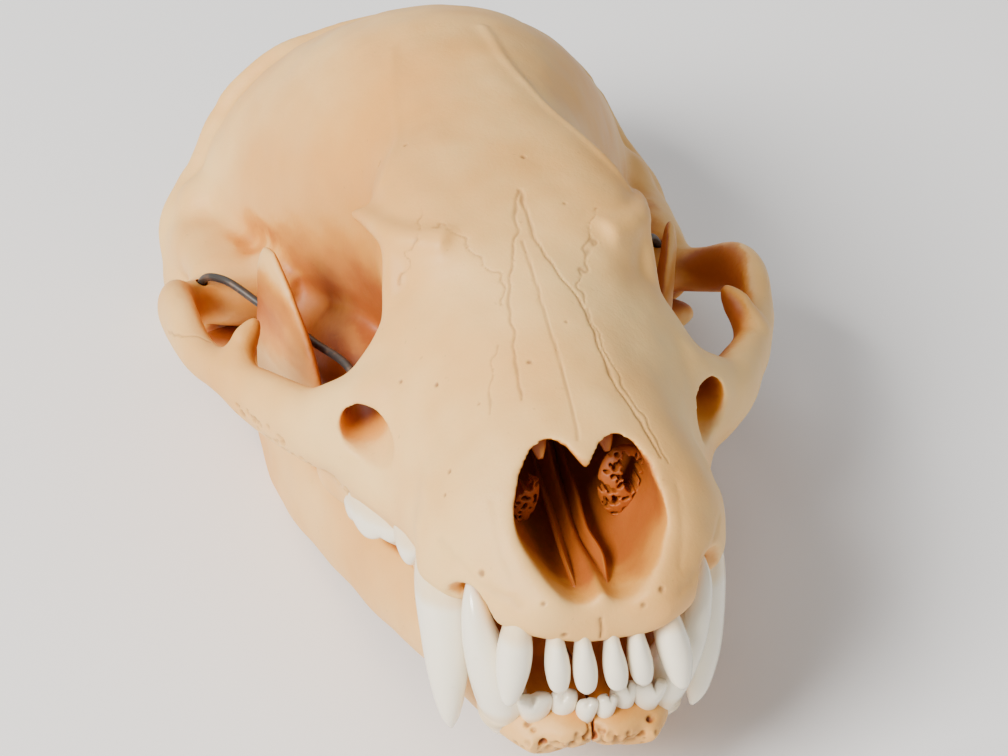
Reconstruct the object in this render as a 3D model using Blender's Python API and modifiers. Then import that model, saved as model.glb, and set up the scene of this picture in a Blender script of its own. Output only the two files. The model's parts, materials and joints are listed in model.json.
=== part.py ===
"""Skull of an American badger with its lower jaw wired on, life size and at rest.

Sizes are in millimetres, in the skull's own frame: X runs to the skull's left, Y runs
backwards from the gum line between the middle upper incisors, and Z runs up from the plane
of the upper tooth row. An empty then tips the whole skull back until it rests on its jaw.
"""

import math

import bmesh
import bpy
import numpy as np
from mathutils import Matrix, Vector

MM = 0.001
GAP = 0.3
SIDES = (-1, 1)

# Each station of a loft: y, half width, level of that width, top, bottom, upper power, lower power.
FACE = (
    (0.0, 8.0, 2.6, 6.2, -0.8, 2.4, 2.4),
    (3.0, 11.6, 3.0, 9.2, -1.0, 2.2, 2.6),
    (8.0, 15.6, 3.4, 15.0, -0.6, 2.1, 3.0),
    (14.0, 18.2, 3.6, 20.6, -0.4, 2.0, 3.4),
    (20.0, 18.0, 3.8, 23.4, -0.2, 2.0, 3.6),
    (27.0, 19.3, 4.2, 26.4, -0.2, 1.9, 3.8),
    (34.0, 22.4, 4.6, 29.4, -0.2, 1.8, 4.0),
    (42.0, 25.0, 5.2, 32.8, -0.2, 1.7, 4.0),
    (50.0, 23.0, 5.4, 35.0, 0.4, 1.7, 3.4),
)
VAULT = (
    (36.0, 9.5, 24.0, 29.6, 12.0, 2.0, 2.0),
    (45.0, 14.8, 28.4, 34.2, 4.0, 2.2, 1.6),
    (52.0, 16.4, 28.8, 36.6, 1.0, 2.3, 1.5),
    (60.0, 16.4, 28.7, 38.8, 0.5, 2.3, 1.7),
    (67.0, 14.6, 28.0, 40.6, 0.5, 2.1, 2.1),
    (74.0, 16.2, 25.0, 42.2, 0.6, 2.0, 2.4),
    (82.0, 20.4, 21.0, 43.4, 0.8, 2.0, 2.6),
    (90.0, 23.8, 17.0, 43.6, 1.4, 2.0, 2.6),
    (98.0, 26.6, 13.5, 42.0, 3.0, 2.0, 2.5),
    (106.0, 29.6, 9.0, 39.2, 3.0, 2.0, 2.6),
    (112.0, 31.2, 7.0, 36.6, 3.0, 2.0, 2.6),
    (118.0, 29.4, 7.0, 33.4, 3.6, 2.0, 2.6),
    (122.0, 23.0, 9.0, 29.0, 5.5, 2.0, 2.4),
)

# Each station of a swept bar: x, y, z, half thickness across it, half height.
ARCH = (
    (19.0, 37.0, 8.0, 4.4, 6.2),
    (25.5, 42.5, 8.2, 3.8, 5.0),
    (31.0, 51.0, 8.4, 2.8, 4.0),
    (34.8, 59.0, 8.8, 2.4, 3.0),
    (37.0, 66.0, 8.2, 2.3, 2.9),
    (38.3, 73.5, 9.4, 2.4, 3.9),
    (38.2, 79.5, 8.8, 2.5, 3.8),
    (35.8, 86.0, 6.0, 2.8, 3.2),
    (31.0, 89.8, 5.0, 4.6, 3.0),
    (22.0, 92.0, 7.0, 6.0, 4.4),
)
CHEEK_ROOT = (
    (15.5, 36.0, 13.0, 5.0, 7.4),
    (20.5, 38.6, 10.4, 4.6, 6.2),
    (25.6, 43.6, 8.2, 4.0, 5.2),
    (30.6, 50.6, 8.0, 3.0, 4.2),
    (34.0, 57.4, 8.2, 2.4, 3.2),
)
JUGAL_SPUR = (
    (34.2, 57.0, 9.2, 2.6, 4.4),
    (32.3, 58.7, 12.9, 1.8, 2.4),
    (30.3, 60.2, 15.4, 0.9, 0.9),
)
BROW = (
    (9.0, 43.5, 31.0, 3.0, 2.4),
    (15.0, 48.6, 30.4, 2.2, 1.8),
    (16.2, 53.5, 30.2, 2.0, 1.5),
    (17.3, 58.0, 29.4, 1.5, 1.2),
    (18.6, 60.0, 28.8, 0.8, 0.7),
)
TEAR_RIM = (
    (14.8, 48.4, 29.4, 2.2, 2.2),
    (15.0, 46.4, 26.5, 2.2, 2.2),
    (15.2, 44.6, 23.0, 2.3, 2.4),
    (15.6, 42.8, 20.0, 2.4, 2.6),
    (17.0, 41.0, 17.0, 2.6, 3.0),
)
EAR_SHELF = (
    (30.0, 90.0, 7.0, 5.0, 3.2),
    (29.5, 97.0, 7.0, 5.6, 4.0),
    (31.0, 104.0, 6.0, 5.0, 4.6),
    (33.0, 110.0, 4.6, 3.6, 4.2),
)
NECK_CREST = (
    (34.0, 106.0, 2.0, 2.6, 3.0),
    (34.4, 112.0, 7.0, 2.0, 2.2),
    (30.4, 116.0, 13.2, 1.7, 1.9),
    (26.6, 117.6, 20.6, 1.6, 1.8),
    (19.4, 119.0, 27.4, 1.6, 1.8),
    (10.0, 120.4, 30.2, 1.6, 1.8),
    (-0.5, 121.0, 31.6, 1.6, 2.0),
)
CANINE_JUGUM = (
    (15.2, 14.5, 1.5, 3.6, 3.8),
    (15.4, 18.0, 8.0, 3.2, 3.6),
    (12.4, 23.5, 15.0, 2.0, 2.4),
)
ALVEOLAR_EDGE = (
    (15.6, 27.0, 0.8, 1.4, 2.0),
    (18.0, 34.0, 0.6, 1.5, 2.5),
    (21.2, 40.0, 0.5, 1.6, 2.6),
    (23.4, 46.0, 0.5, 1.6, 2.5),
    (23.0, 53.0, 1.6, 1.8, 2.2),
)
PTERYGOID = (
    (8.0, 50.0, 5.0, 2.4, 5.0),
    (7.6, 60.0, 2.6, 1.5, 4.4),
    (7.6, 70.0, 2.0, 1.1, 4.6),
    (8.0, 78.0, 0.6, 0.9, 3.6),
    (8.4, 82.0, -2.4, 0.8, 1.4),
)

# Each ball: centre, radii.
CHEEK_TOOTH_BED = ((17.0, 46.5, 4.3), (8.2, 13.5, 5.4))
EAR_CAPSULE = ((16.2, 95.0, 1.4), (8.8, 13.0, 8.8))
MASTOID = ((32.6, 106.5, 1.4), (4.2, 6.2, 6.6))
NECK_CORNER = ((30.4, 110.4, 7.4), (4.4, 5.2, 6.8))
CONDYLE = ((9.2, 120.6, 6.4), (5.6, 5.4, 6.2))
JUGULAR_SPUR = (
    (24.0, 110.0, 3.0, 3.2, 3.2),
    (24.6, 112.6, -2.0, 2.2, 2.6),
    (24.8, 113.6, -6.0, 1.0, 1.2),
)
HINGE_STOP = ((28.0, 93.0, 2.0), (8.0, 2.2, 5.4))
HINGE_ROOF = ((27.6, 89.6, 5.2), (9.0, 5.0, 4.0))
SKULL_BASE = ((0.0, 100.0, 6.0), (13.0, 24.0, 5.0))
SKULL_WING = ((14.0, 79.0, 0.5), (7.0, 11.0, 6.5))
PALATE_END = ((0.0, 52.0, 3.4), (10.0, 11.0, 2.4))

ORBIT_CUT = ((25.4, 57.0, 21.6), (13.0, 17.0, 13.6))
# Each station of half the nose hollow: y, middle x, half width, middle z, half height.
NOSE_CUT = (
    (-6.0, 3.5, 4.8, 10.4, 5.6),
    (3.0, 3.5, 5.0, 10.4, 6.2),
    (8.0, 3.6, 5.1, 10.8, 6.8),
    (14.0, 3.7, 5.1, 11.4, 7.9),
    (22.0, 3.8, 4.8, 12.4, 8.0),
    (32.0, 4.0, 3.8, 14.0, 7.0),
    (40.0, 4.0, 2.2, 15.0, 4.0),
)
NOSE_FLOOR_SHIFT = 1.0
NOSE_FLOOR_NARROW = 0.3
PALATE_CUT = ((0.0, 36.0, -3.4), (10.4, 27.0, 6.2))
THROAT_CUT = ((0.0, 74.0, -2.0), (6.0, 16.0, 8.0))
SPINE_HOLE_CUT = ((0.0, 126.0, 13.0), (7.8, 13.0, 6.6))
CHEEK_HOLE = (
    (23.6, 25.0, 10.2, 3.3, 3.2),
    (21.8, 32.0, 11.3, 3.6, 3.4),
    (20.8, 39.0, 12.2, 2.3, 2.4),
    (20.2, 50.0, 14.6, 1.8, 2.0),
)
CANINE_NOTCH = ((15.8, 6.0, -1.0), (4.6, 5.0, 6.2))
JAW_ROOM = 0.6

JAW_BODY = (
    (3.8, 4.0, -15.4, 4.2, 2.0),
    (5.6, 8.4, -14.4, 5.0, 3.4),
    (7.6, 15.0, -13.4, 5.0, 4.8),
    (10.2, 22.0, -12.8, 4.2, 5.6),
    (13.4, 30.0, -12.4, 3.4, 6.0),
    (16.8, 40.0, -12.2, 3.1, 6.2),
    (19.6, 50.0, -11.8, 3.0, 6.2),
    (22.2, 58.0, -11.2, 2.8, 6.2),
    (24.4, 66.0, -10.0, 2.4, 6.5),
    (25.6, 74.0, -8.4, 1.9, 7.2),
    (26.4, 82.0, -6.6, 1.5, 5.0),
    (26.8, 88.0, -7.2, 1.1, 2.2),
)
# Each station of the coronoid process: x, y, z, half thickness, half length.
CORONOID = (
    (23.6, 69.0, -10.0, 1.7, 10.0),
    (24.2, 69.6, -2.0, 1.6, 9.6),
    (25.0, 70.2, 6.0, 1.4, 8.0),
    (25.8, 71.4, 12.0, 1.2, 5.8),
    (26.5, 72.8, 16.2, 1.0, 3.6),
    (26.8, 74.0, 18.8, 0.6, 1.4),
)
CORONOID_TURN = math.radians(20.0)
JAW_NECK = (
    (25.6, 78.0, -6.0, 2.0, 4.6),
    (26.2, 84.0, -3.6, 2.2, 3.4),
    (27.0, 88.0, -2.0, 3.0, 2.4),
)
JAW_HEAD = ((27.0, 88.4, -1.6), (8.2, 3.1, 2.9))
CHIN = ((2.6, 13.6, -14.0), (6.6, 12.4, 4.0))

# Each tooth: where its crown leaves the bone, its tip, crown width, crown depth and bluntness.
UPPER_FRONT_TEETH = (
    ((1.7, 1.4, -0.2), (1.9, 0.5, -7.3), 3.0, 3.6, 0.62),
    ((4.8, 2.0, 0.1), (5.0, 1.2, -7.3), 3.1, 4.0, 0.58),
    ((9.1, 4.0, 1.6), (10.1, 2.1, -8.6), 4.8, 5.4, 0.34),
)
LOWER_FRONT_TEETH = (
    ((1.7, 5.0, -14.2), (1.6, 3.4, -9.4), 2.6, 3.0, 0.76),
    ((4.4, 5.6, -14.0), (4.4, 4.0, -8.8), 3.2, 3.4, 0.76),
    ((7.2, 6.6, -13.6), (7.6, 4.6, -8.8), 3.6, 3.8, 0.76),
)
# Each canine: points along its middle line with the half width and half depth there.
UPPER_CANINE = (
    (14.2, 20.0, 7.0, 3.0, 3.6),
    (14.9, 16.0, 0.5, 3.8, 4.6),
    (15.2, 13.6, -5.0, 3.2, 3.9),
    (15.3, 12.2, -11.0, 2.2, 2.7),
    (15.0, 12.2, -15.6, 1.1, 1.4),
    (14.8, 12.6, -17.4, 0.4, 0.5),
)
LOWER_CANINE = (
    (8.0, 13.0, -16.0, 2.6, 3.4),
    (9.6, 9.0, -11.5, 3.0, 4.0),
    (11.4, 7.6, -6.6, 2.7, 3.4),
    (13.0, 7.8, -1.6, 2.0, 2.5),
    (13.8, 8.8, 2.4, 1.1, 1.4),
    (14.0, 9.6, 4.2, 0.4, 0.5),
)
# Each cheek tooth: centre x and y, length, width, height of its main cusp, turn in degrees.
UPPER_CHEEK_TEETH = (
    (15.6, 22.6, 4.2, 2.8, 3.0, 12.0),
    (17.2, 27.6, 6.0, 3.4, 4.4, 18.0),
    (20.4, 36.6, 12.6, 5.0, 6.4, 26.0),
    (17.8, 48.0, 9.0, 10.6, 3.0, 14.0),
)
LOWER_CHEEK_TEETH = (
    (10.0, 19.6, 3.8, 2.4, 2.6, 18.0),
    (11.6, 24.6, 5.4, 2.8, 3.8, 18.0),
    (13.6, 31.4, 7.2, 3.4, 4.8, 18.0),
    (16.6, 42.6, 13.4, 4.6, 5.6, 16.0),
    (19.8, 53.0, 4.4, 4.2, 1.8, 16.0),
)
UPPER_GUM = 0.6
LOWER_GUM = -6.6
# Rings down a front tooth: how far along its crown, part of its width, part of its depth.
FRONT_TOOTH_RINGS = ((-0.4, 0.6, 0.8), (0.05, 0.82, 0.92), (0.4, 0.96, 1.0), (0.76, 1.0, 0.76))
FRONT_TOOTH_EDGE = 0.22
# Rings up a cheek tooth: part of its height, part of its length, part of its width.
CHEEK_TOOTH_RINGS = (
    (-0.5, 0.8, 0.8),
    (0.1, 0.96, 0.96),
    (0.45, 1.0, 0.9),
    (0.8, 0.6, 0.5),
    (1.0, 0.3, 0.2),
)

# The thin bones in the nose: the plough bone's two low wings, and the curled scrolls.
PLOUGH_WING = (
    (1.9, 8.0, 4.2, 0.5, 1.6),
    (1.9, 20.0, 5.8, 0.5, 2.4),
    (1.2, 38.0, 9.6, 0.5, 4.4),
)
SCROLLS = ((6.6, 21.0, 15.2, 1.9), (5.0, 23.0, 11.2, 1.5), (6.8, 22.0, 9.6, 1.6))
SCROLL_THICKNESS = 0.4
SCROLL_TURN = math.radians(300.0)

# The bent wires that hold the jaw on: points from the hole in the cheek root to the jaw.
WIRE_RADIUS = 0.55
WIRE_RIGHT = (
    (-33.4, 90.8, 4.2),
    (-33.8, 88.8, 7.2),
    (-33.2, 85.2, 10.2),
    (-31.4, 82.0, 11.0),
    (-27.5, 78.0, 9.2),
    (-21.8, 70.0, 7.0),
    (-17.8, 61.0, 5.6),
    (-17.4, 58.0, -0.6),
    (-18.6, 57.4, -5.6),
    (-21.2, 57.2, -8.4),
)
WIRE_LEFT = (
    (30.4, 90.8, 5.0),
    (29.8, 89.4, 8.4),
    (27.6, 86.4, 11.2),
    (24.6, 82.6, 10.4),
    (22.4, 76.4, 8.0),
    (19.6, 68.0, 6.4),
    (17.6, 60.0, 3.4),
    (17.6, 58.0, -1.0),
    (18.8, 57.4, -5.6),
    (21.2, 57.2, -8.4),
)

BONE_VOXEL = 0.9
CRANIUM_TRIANGLES = 6400
JAW_TRIANGLES = 1300
REST_TILT = math.radians(14.3)
REST_FLAT = 0.35
FLOOR_BLOCK = (300.0, 300.0, 20.0)
MIDDLE_BLOCK = (40.0, 120.0, 80.0)


def clear_scene():
    """Removes everything that the scene starts with."""
    for obj in list(bpy.data.objects):
        bpy.data.objects.remove(obj, do_unlink=True)


def collection(name):
    """A new collection in the scene."""
    made = bpy.data.collections.new(name)
    bpy.context.scene.collection.children.link(made)
    return made


def link_mesh(name, bm, group):
    """An object in the group from a bmesh in millimetres, written in metres."""
    bmesh.ops.recalc_face_normals(bm, faces=bm.faces)
    bmesh.ops.scale(bm, vec=(MM, MM, MM), verts=bm.verts)
    mesh = bpy.data.meshes.new(name)
    bm.to_mesh(mesh)
    bm.free()
    obj = bpy.data.objects.new(name, mesh)
    group.objects.link(obj)
    return obj


def smooth_rows(rows, step):
    """The rows of a table with more between them, on a smooth curve through all of them."""
    table = np.array(rows, float)
    spans = np.linalg.norm(np.diff(table[:, :3], axis=0), axis=1)
    along = np.concatenate([[0.0], np.cumsum(spans)])
    slopes = np.gradient(table, along, axis=0)
    count = max(2, math.ceil(along[-1] / step)) + 1
    out = []
    for at in np.linspace(0.0, along[-1], count):
        k = min(int(np.searchsorted(along, at, side="right")) - 1, len(rows) - 2)
        span = along[k + 1] - along[k]
        t = (at - along[k]) / span
        a = (1 + 2 * t) * (1 - t) ** 2 * table[k] + t * (1 - t) ** 2 * span * slopes[k]
        b = t * t * (3 - 2 * t) * table[k + 1] - t * t * (1 - t) * span * slopes[k + 1]
        out.append(a + b)
    return out


def loft(name, rings, group):
    """A closed skin over rings of points that all have the same count, with flat ends."""
    bm = bmesh.new()
    verts = [[bm.verts.new(point) for point in ring] for ring in rings]
    for low, high in zip(verts, verts[1:]):
        for i in range(len(low)):
            j = (i + 1) % len(low)
            bm.faces.new((low[i], low[j], high[j], high[i]))
    bm.faces.new(verts[0])
    bm.faces.new(verts[-1])
    bmesh.ops.triangulate(bm, faces=bm.faces)
    return link_mesh(name, bm, group)


def power_point(angle, power):
    """A point of the unit superellipse of this power, at this angle."""
    c = math.cos(angle)
    s = math.sin(angle)
    return math.copysign(abs(c) ** (2 / power), c), math.copysign(abs(s) ** (2 / power), s)


def skull_section(row, count=40):
    """A cross section of the skull: one superellipse above its widest level, another below it."""
    y, half, level, top, bottom, power_up, power_down = row
    ring = []
    for k in range(count):
        angle = 2 * math.pi * k / count
        upper = angle <= math.pi
        across, up = power_point(angle, power_up if upper else power_down)
        height = top - level if upper else level - bottom
        ring.append((half * across, y, level + height * up))
    return ring


def bar(name, rows, group, side=1, count=14, step=2.0, grow=0.0):
    """A bar swept through stations of x, y, z, half thickness and half height."""
    rows = smooth_rows(rows, step)
    points = [Vector((side * row[0], row[1], row[2])) for row in rows]
    rings = []
    for k, row in enumerate(rows):
        ahead = points[min(k + 1, len(rows) - 1)] - points[max(k - 1, 0)]
        ahead.normalize()
        guide = Vector((0, 0, 1)) if abs(ahead.z) < 0.8 else Vector((0, 1, 0))
        across = ahead.cross(guide).normalized()
        up = across.cross(ahead)
        thick = row[3] + grow
        tall = row[4] + grow
        turns = [2 * math.pi * i / count for i in range(count)]
        rings.append(
            [points[k] + across * thick * math.cos(a) + up * tall * math.sin(a) for a in turns]
        )
    return loft(name, rings, group)


def ball(name, shape, group, side=1, grow=0.0):
    """An ellipsoid from its centre and radii."""
    centre, radii = shape
    bm = bmesh.new()
    bmesh.ops.create_uvsphere(bm, u_segments=24, v_segments=14, radius=1.0)
    size = [radius + grow for radius in radii]
    place = Matrix.Translation((side * centre[0], centre[1], centre[2]))
    bmesh.ops.transform(bm, matrix=place @ Matrix.Diagonal((*size, 1.0)), verts=bm.verts)
    return link_mesh(name, bm, group)


def apply_modifiers(obj):
    """Makes the object's mesh what its modifiers show."""
    bpy.context.view_layer.update()
    graph = bpy.context.evaluated_depsgraph_get()
    made = bpy.data.meshes.new_from_object(obj.evaluated_get(graph))
    old = obj.data
    obj.modifiers.clear()
    obj.data = made
    made.name = old.name
    bpy.data.meshes.remove(old)


def largest_surface(obj):
    """Keeps only the largest closed surface of the mesh."""
    bm = bmesh.new()
    bm.from_mesh(obj.data)
    bm.verts.ensure_lookup_table()
    seen = set()
    shells = []
    for start in bm.verts:
        if start in seen:
            continue
        shell = []
        stack = [start]
        seen.add(start)
        while stack:
            vert = stack.pop()
            shell.append(vert)
            for edge in vert.link_edges:
                other = edge.other_vert(vert)
                if other not in seen:
                    seen.add(other)
                    stack.append(other)
        shells.append(shell)
    shells.sort(key=len)
    drop = [vert for shell in shells[:-1] for vert in shell]
    bmesh.ops.delete(bm, geom=drop, context="VERTS")
    bm.to_mesh(obj.data)
    bm.free()


def boolean(obj, group, operation):
    """Joins the group's objects to the object or cuts them from it, then removes them."""
    for other in group.objects:
        other.hide_render = True
        other.display_type = "WIRE"
    step = obj.modifiers.new(operation.title(), "BOOLEAN")
    step.operation = operation
    step.operand_type = "COLLECTION"
    step.collection = group
    step.solver = "MANIFOLD"
    apply_modifiers(obj)
    for other in list(group.objects):
        bpy.data.objects.remove(other, do_unlink=True)
    bpy.data.collections.remove(group)
    largest_surface(obj)


def soften(obj, voxel, rounds):
    """Rebuilds the surface with even faces and rounds off its creases."""
    remesh = obj.modifiers.new("Even faces", "REMESH")
    remesh.mode = "VOXEL"
    remesh.voxel_size = voxel * MM
    smooth = obj.modifiers.new("Round creases", "SMOOTH")
    smooth.factor = 0.5
    smooth.iterations = rounds
    apply_modifiers(obj)
    largest_surface(obj)


def thin_out(obj, triangles):
    """Brings the mesh down to about this many triangles."""
    obj.data.calc_loop_triangles()
    reduce = obj.modifiers.new("Fewer faces", "DECIMATE")
    reduce.ratio = triangles / len(obj.data.loop_triangles)
    reduce.use_collapse_triangulate = True
    apply_modifiers(obj)
    largest_surface(obj)


def front_tooth(name, tooth, group, side, grow=0.0):
    """An incisor: a crown that swells below the gum and ends in a blunt edge, with its root."""
    base, tip, width, depth, blunt = tooth
    root = Vector((side * base[0], base[1], base[2]))
    end = Vector((side * tip[0], tip[1], tip[2]))
    axis = end - root
    rows = []
    for t, wide, deep in FRONT_TOOTH_RINGS:
        rows.append((*(root + t * axis), wide * width / 2, deep * depth / 2))
    rows.append((*end, blunt * width / 2, FRONT_TOOTH_EDGE * depth))
    rings = []
    for x, y, z, wide, deep in rows:
        turns = [2 * math.pi * (i + 0.5) / 8 for i in range(8)]
        rings.append(
            [(x + (wide + grow) * math.cos(a), y + (deep + grow) * math.sin(a), z) for a in turns]
        )
    return loft(name, rings, group)


def cheek_tooth(name, tooth, group, side, gum, down, grow=0.0):
    """A premolar or molar: a low crown whose middle rises to its main cusp."""
    x, y, length, width, height, turn = tooth
    angle = math.radians(turn) * side
    rings = []
    for t, long, wide in CHEEK_TOOTH_RINGS:
        z = gum + down * t * height
        ring = []
        for i in range(10):
            a = 2 * math.pi * i / 10
            u = (wide * width / 2 + grow) * math.cos(a)
            v = (long * length / 2 + grow) * math.sin(a)
            across = u * math.cos(angle) + v * math.sin(angle)
            along = v * math.cos(angle) - u * math.sin(angle)
            ring.append((side * x + across, y + along, z))
        rings.append(ring)
    return loft(name, rings, group)


def upper_teeth(group, side, grow=0.0):
    """The upper teeth of one side."""
    for k, tooth in enumerate(UPPER_FRONT_TEETH):
        front_tooth(f"upper_incisor_{k}", tooth, group, side, grow)
    bar("upper_canine", UPPER_CANINE, group, side, count=10, step=4.5, grow=grow)
    for k, tooth in enumerate(UPPER_CHEEK_TEETH):
        cheek_tooth(f"upper_cheek_tooth_{k}", tooth, group, side, UPPER_GUM, -1, grow)


def lower_teeth(group, side, grow=0.0):
    """The lower teeth of one side."""
    for k, tooth in enumerate(LOWER_FRONT_TEETH):
        front_tooth(f"lower_incisor_{k}", tooth, group, side, grow)
    bar("lower_canine", LOWER_CANINE, group, side, count=10, step=4.5, grow=grow)
    for k, tooth in enumerate(LOWER_CHEEK_TEETH):
        cheek_tooth(f"lower_cheek_tooth_{k}", tooth, group, side, LOWER_GUM, 1, grow)


def lower_jaw_room(group, side, grow):
    """The room in the skull that the jaw's head and lower canine need."""
    ball("jaw_head_room", JAW_HEAD, group, side, grow)
    bar("lower_canine_room", LOWER_CANINE, group, side, count=10, step=4.5, grow=grow)


def nose_lobe(group, side):
    """The hollow of one side of the nose, open at the front."""
    rings = []
    for y, x, half, z, tall in smooth_rows(NOSE_CUT, 3.0):
        ring = []
        for i in range(20):
            a = 2 * math.pi * i / 20
            low = max(0.0, -math.sin(a))
            middle = x - NOSE_FLOOR_SHIFT * low
            wide = half * (1 - NOSE_FLOOR_NARROW * low)
            ring.append((side * middle + wide * math.cos(a), y, z + tall * math.sin(a)))
        rings.append(ring)
    return loft("nose_lobe", rings, group)


def build_cranium(group):
    """The upper skull, one bone, with its teeth."""
    cranium = loft("cranium", [skull_section(row) for row in smooth_rows(VAULT, 2.0)], group)
    bulk = collection("bulk")
    loft("face", [skull_section(row) for row in smooth_rows(FACE, 2.0)], bulk)
    for side in SIDES:
        bar("cheek_root", CHEEK_ROOT, bulk, side)
        ball("cheek_tooth_bed", CHEEK_TOOTH_BED, bulk, side)
        bar("canine_jugum", CANINE_JUGUM, bulk, side)
        ball("mastoid", MASTOID, bulk, side)
        ball("neck_corner", NECK_CORNER, bulk, side)
        ball("skull_wing", SKULL_WING, bulk, side)
        bar("ear_shelf", EAR_SHELF, bulk, side)
        bar("alveolar_edge", ALVEOLAR_EDGE, bulk, side)
        ball("ear_capsule", EAR_CAPSULE, bulk, side)
    ball("skull_base", SKULL_BASE, bulk)
    boolean(cranium, bulk, "UNION")
    soften(cranium, BONE_VOXEL, 12)

    hollows = collection("hollows")
    for side in SIDES:
        ball("orbit", ORBIT_CUT, hollows, side)
        nose_lobe(hollows, side)
    ball("palate", PALATE_CUT, hollows)
    ball("throat", THROAT_CUT, hollows)
    ball("spine_hole", SPINE_HOLE_CUT, hollows)
    boolean(cranium, hollows, "DIFFERENCE")

    bars = collection("bars")
    for side in SIDES:
        bar("arch", ARCH, bars, side)
        bar("jugal_spur", JUGAL_SPUR, bars, side)
        bar("brow", BROW, bars, side)
        bar("tear_rim", TEAR_RIM, bars, side)
        bar("neck_crest", NECK_CREST, bars, side)
        bar("pterygoid", PTERYGOID, bars, side)
        bar("jugular_spur", JUGULAR_SPUR, bars, side)
        ball("condyle", CONDYLE, bars, side)
        ball("hinge_roof", HINGE_ROOF, bars, side)
        ball("hinge_stop", HINGE_STOP, bars, side)
    ball("palate_end", PALATE_END, bars)
    boolean(cranium, bars, "UNION")
    soften(cranium, BONE_VOXEL, 4)

    holes = collection("holes")
    for side in SIDES:
        bar("cheek_hole", CHEEK_HOLE, holes, side)
        ball("canine_notch", CANINE_NOTCH, holes, side)
        lower_jaw_room(holes, side, JAW_ROOM)
    boolean(cranium, holes, "DIFFERENCE")
    soften(cranium, BONE_VOXEL, 2)
    thin_out(cranium, CRANIUM_TRIANGLES)
    room = collection("room")
    for side in SIDES:
        lower_jaw_room(room, side, JAW_ROOM)
    boolean(cranium, room, "DIFFERENCE")

    fittings = collection("fittings")
    for side in SIDES:
        upper_teeth(fittings, side)
        bar("plough_wing", PLOUGH_WING, fittings, side, count=6, step=8.0)
        for k, scroll in enumerate(SCROLLS):
            curl(f"scroll_{k}", scroll, fittings, side)
    boolean(cranium, fittings, "UNION")
    wire_room(cranium)
    return cranium


def build_jaw(side, group):
    """One half of the lower jaw, one bone, with its teeth."""
    name = "mandible_left" if side > 0 else "mandible_right"
    jaw = bar(name, JAW_BODY, group, side, count=16)
    pieces = collection("pieces")
    rings = []
    for x, y, z, thick, long in smooth_rows(CORONOID, 2.5):
        ring = []
        for i in range(14):
            out = thick * math.cos(2 * math.pi * i / 14)
            back = long * math.sin(2 * math.pi * i / 14)
            across = out * math.cos(CORONOID_TURN) + back * math.sin(CORONOID_TURN)
            along = back * math.cos(CORONOID_TURN) - out * math.sin(CORONOID_TURN)
            ring.append((side * (x + across), y + along, z))
        rings.append(ring)
    loft("coronoid", rings, pieces)
    bar("jaw_neck", JAW_NECK, pieces, side)
    ball("jaw_head", JAW_HEAD, pieces, side)
    ball("chin", CHIN, pieces, side)
    boolean(jaw, pieces, "UNION")
    soften(jaw, BONE_VOXEL, 4)
    thin_out(jaw, JAW_TRIANGLES)
    teeth = collection("teeth")
    lower_teeth(teeth, side)
    boolean(jaw, teeth, "UNION")

    clear = collection("clear")
    upper_teeth(clear, side, grow=GAP)
    middle_plane(clear, side)
    boolean(jaw, clear, "DIFFERENCE")
    wire_room(jaw)
    return jaw


def curl(name, shape, group, side):
    """One thin scroll of bone in the nose: most of a ring that faces forwards."""
    x, y, z, radius = shape
    rows = []
    for a in np.linspace(0.0, SCROLL_TURN, 9):
        across = radius * math.cos(a)
        up = radius * math.sin(a)
        rows.append((x + across, y, z + up, SCROLL_THICKNESS, SCROLL_THICKNESS))
    return bar(name, rows, group, side, count=5, step=2.4)


def wire_room(bone):
    """Bores the holes that the wires' ends sit in."""
    room = collection("wire_room")
    for points in (WIRE_RIGHT, WIRE_LEFT):
        rows = [(x, y, z, WIRE_RADIUS + GAP, WIRE_RADIUS + GAP) for x, y, z in points]
        bar("wire_hole", rows, room, count=8, step=2.2)
    boolean(bone, room, "DIFFERENCE")


def middle_plane(group, side):
    """A block that ends just past the middle plane, on the other side's half."""
    bm = bmesh.new()
    bmesh.ops.create_cube(bm, size=1.0)
    width, length, height = MIDDLE_BLOCK
    size = Matrix.Diagonal((width, length, height, 1.0))
    place = Matrix.Translation((side * (GAP - width) / 2, length / 2, 0.0))
    bmesh.ops.transform(bm, matrix=place @ size, verts=bm.verts)
    return link_mesh("middle_plane", bm, group)


def build_wire(name, points, group):
    """A bent wire with flat ends, as a mesh."""
    curve = bpy.data.curves.new(name, "CURVE")
    curve.dimensions = "3D"
    curve.bevel_depth = WIRE_RADIUS * MM
    curve.bevel_resolution = 1
    curve.use_fill_caps = True
    rows = smooth_rows(points, 2.2)
    spline = curve.splines.new("POLY")
    spline.points.add(len(rows) - 1)
    for point, row in zip(spline.points, rows):
        point.co = (row[0] * MM, row[1] * MM, row[2] * MM, 1.0)
    wire = bpy.data.objects.new(name, curve)
    group.objects.link(wire)
    return wire


def material(name, color, roughness, metallic):
    """A Principled material."""
    made = bpy.data.materials.new(name)
    made.use_nodes = True
    shader = made.node_tree.nodes["Principled BSDF"]
    shader.inputs["Base Color"].default_value = (*color, 1.0)
    shader.inputs["Roughness"].default_value = roughness
    shader.inputs["Metallic"].default_value = metallic
    return made


def world_bounds(objects):
    """The lowest and highest corner of the objects' shown shapes."""
    bpy.context.view_layer.update()
    graph = bpy.context.evaluated_depsgraph_get()
    found = []
    for obj in objects:
        shown = obj.evaluated_get(graph)
        mesh = shown.to_mesh()
        co = np.empty(len(mesh.vertices) * 3, np.float32)
        mesh.vertices.foreach_get("co", co)
        world = np.array(shown.matrix_world)
        found.append(co.reshape(-1, 3) @ world[:3, :3].T + world[:3, 3])
        shown.to_mesh_clear()
    points = np.concatenate(found)
    return points.min(axis=0), points.max(axis=0)


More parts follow.
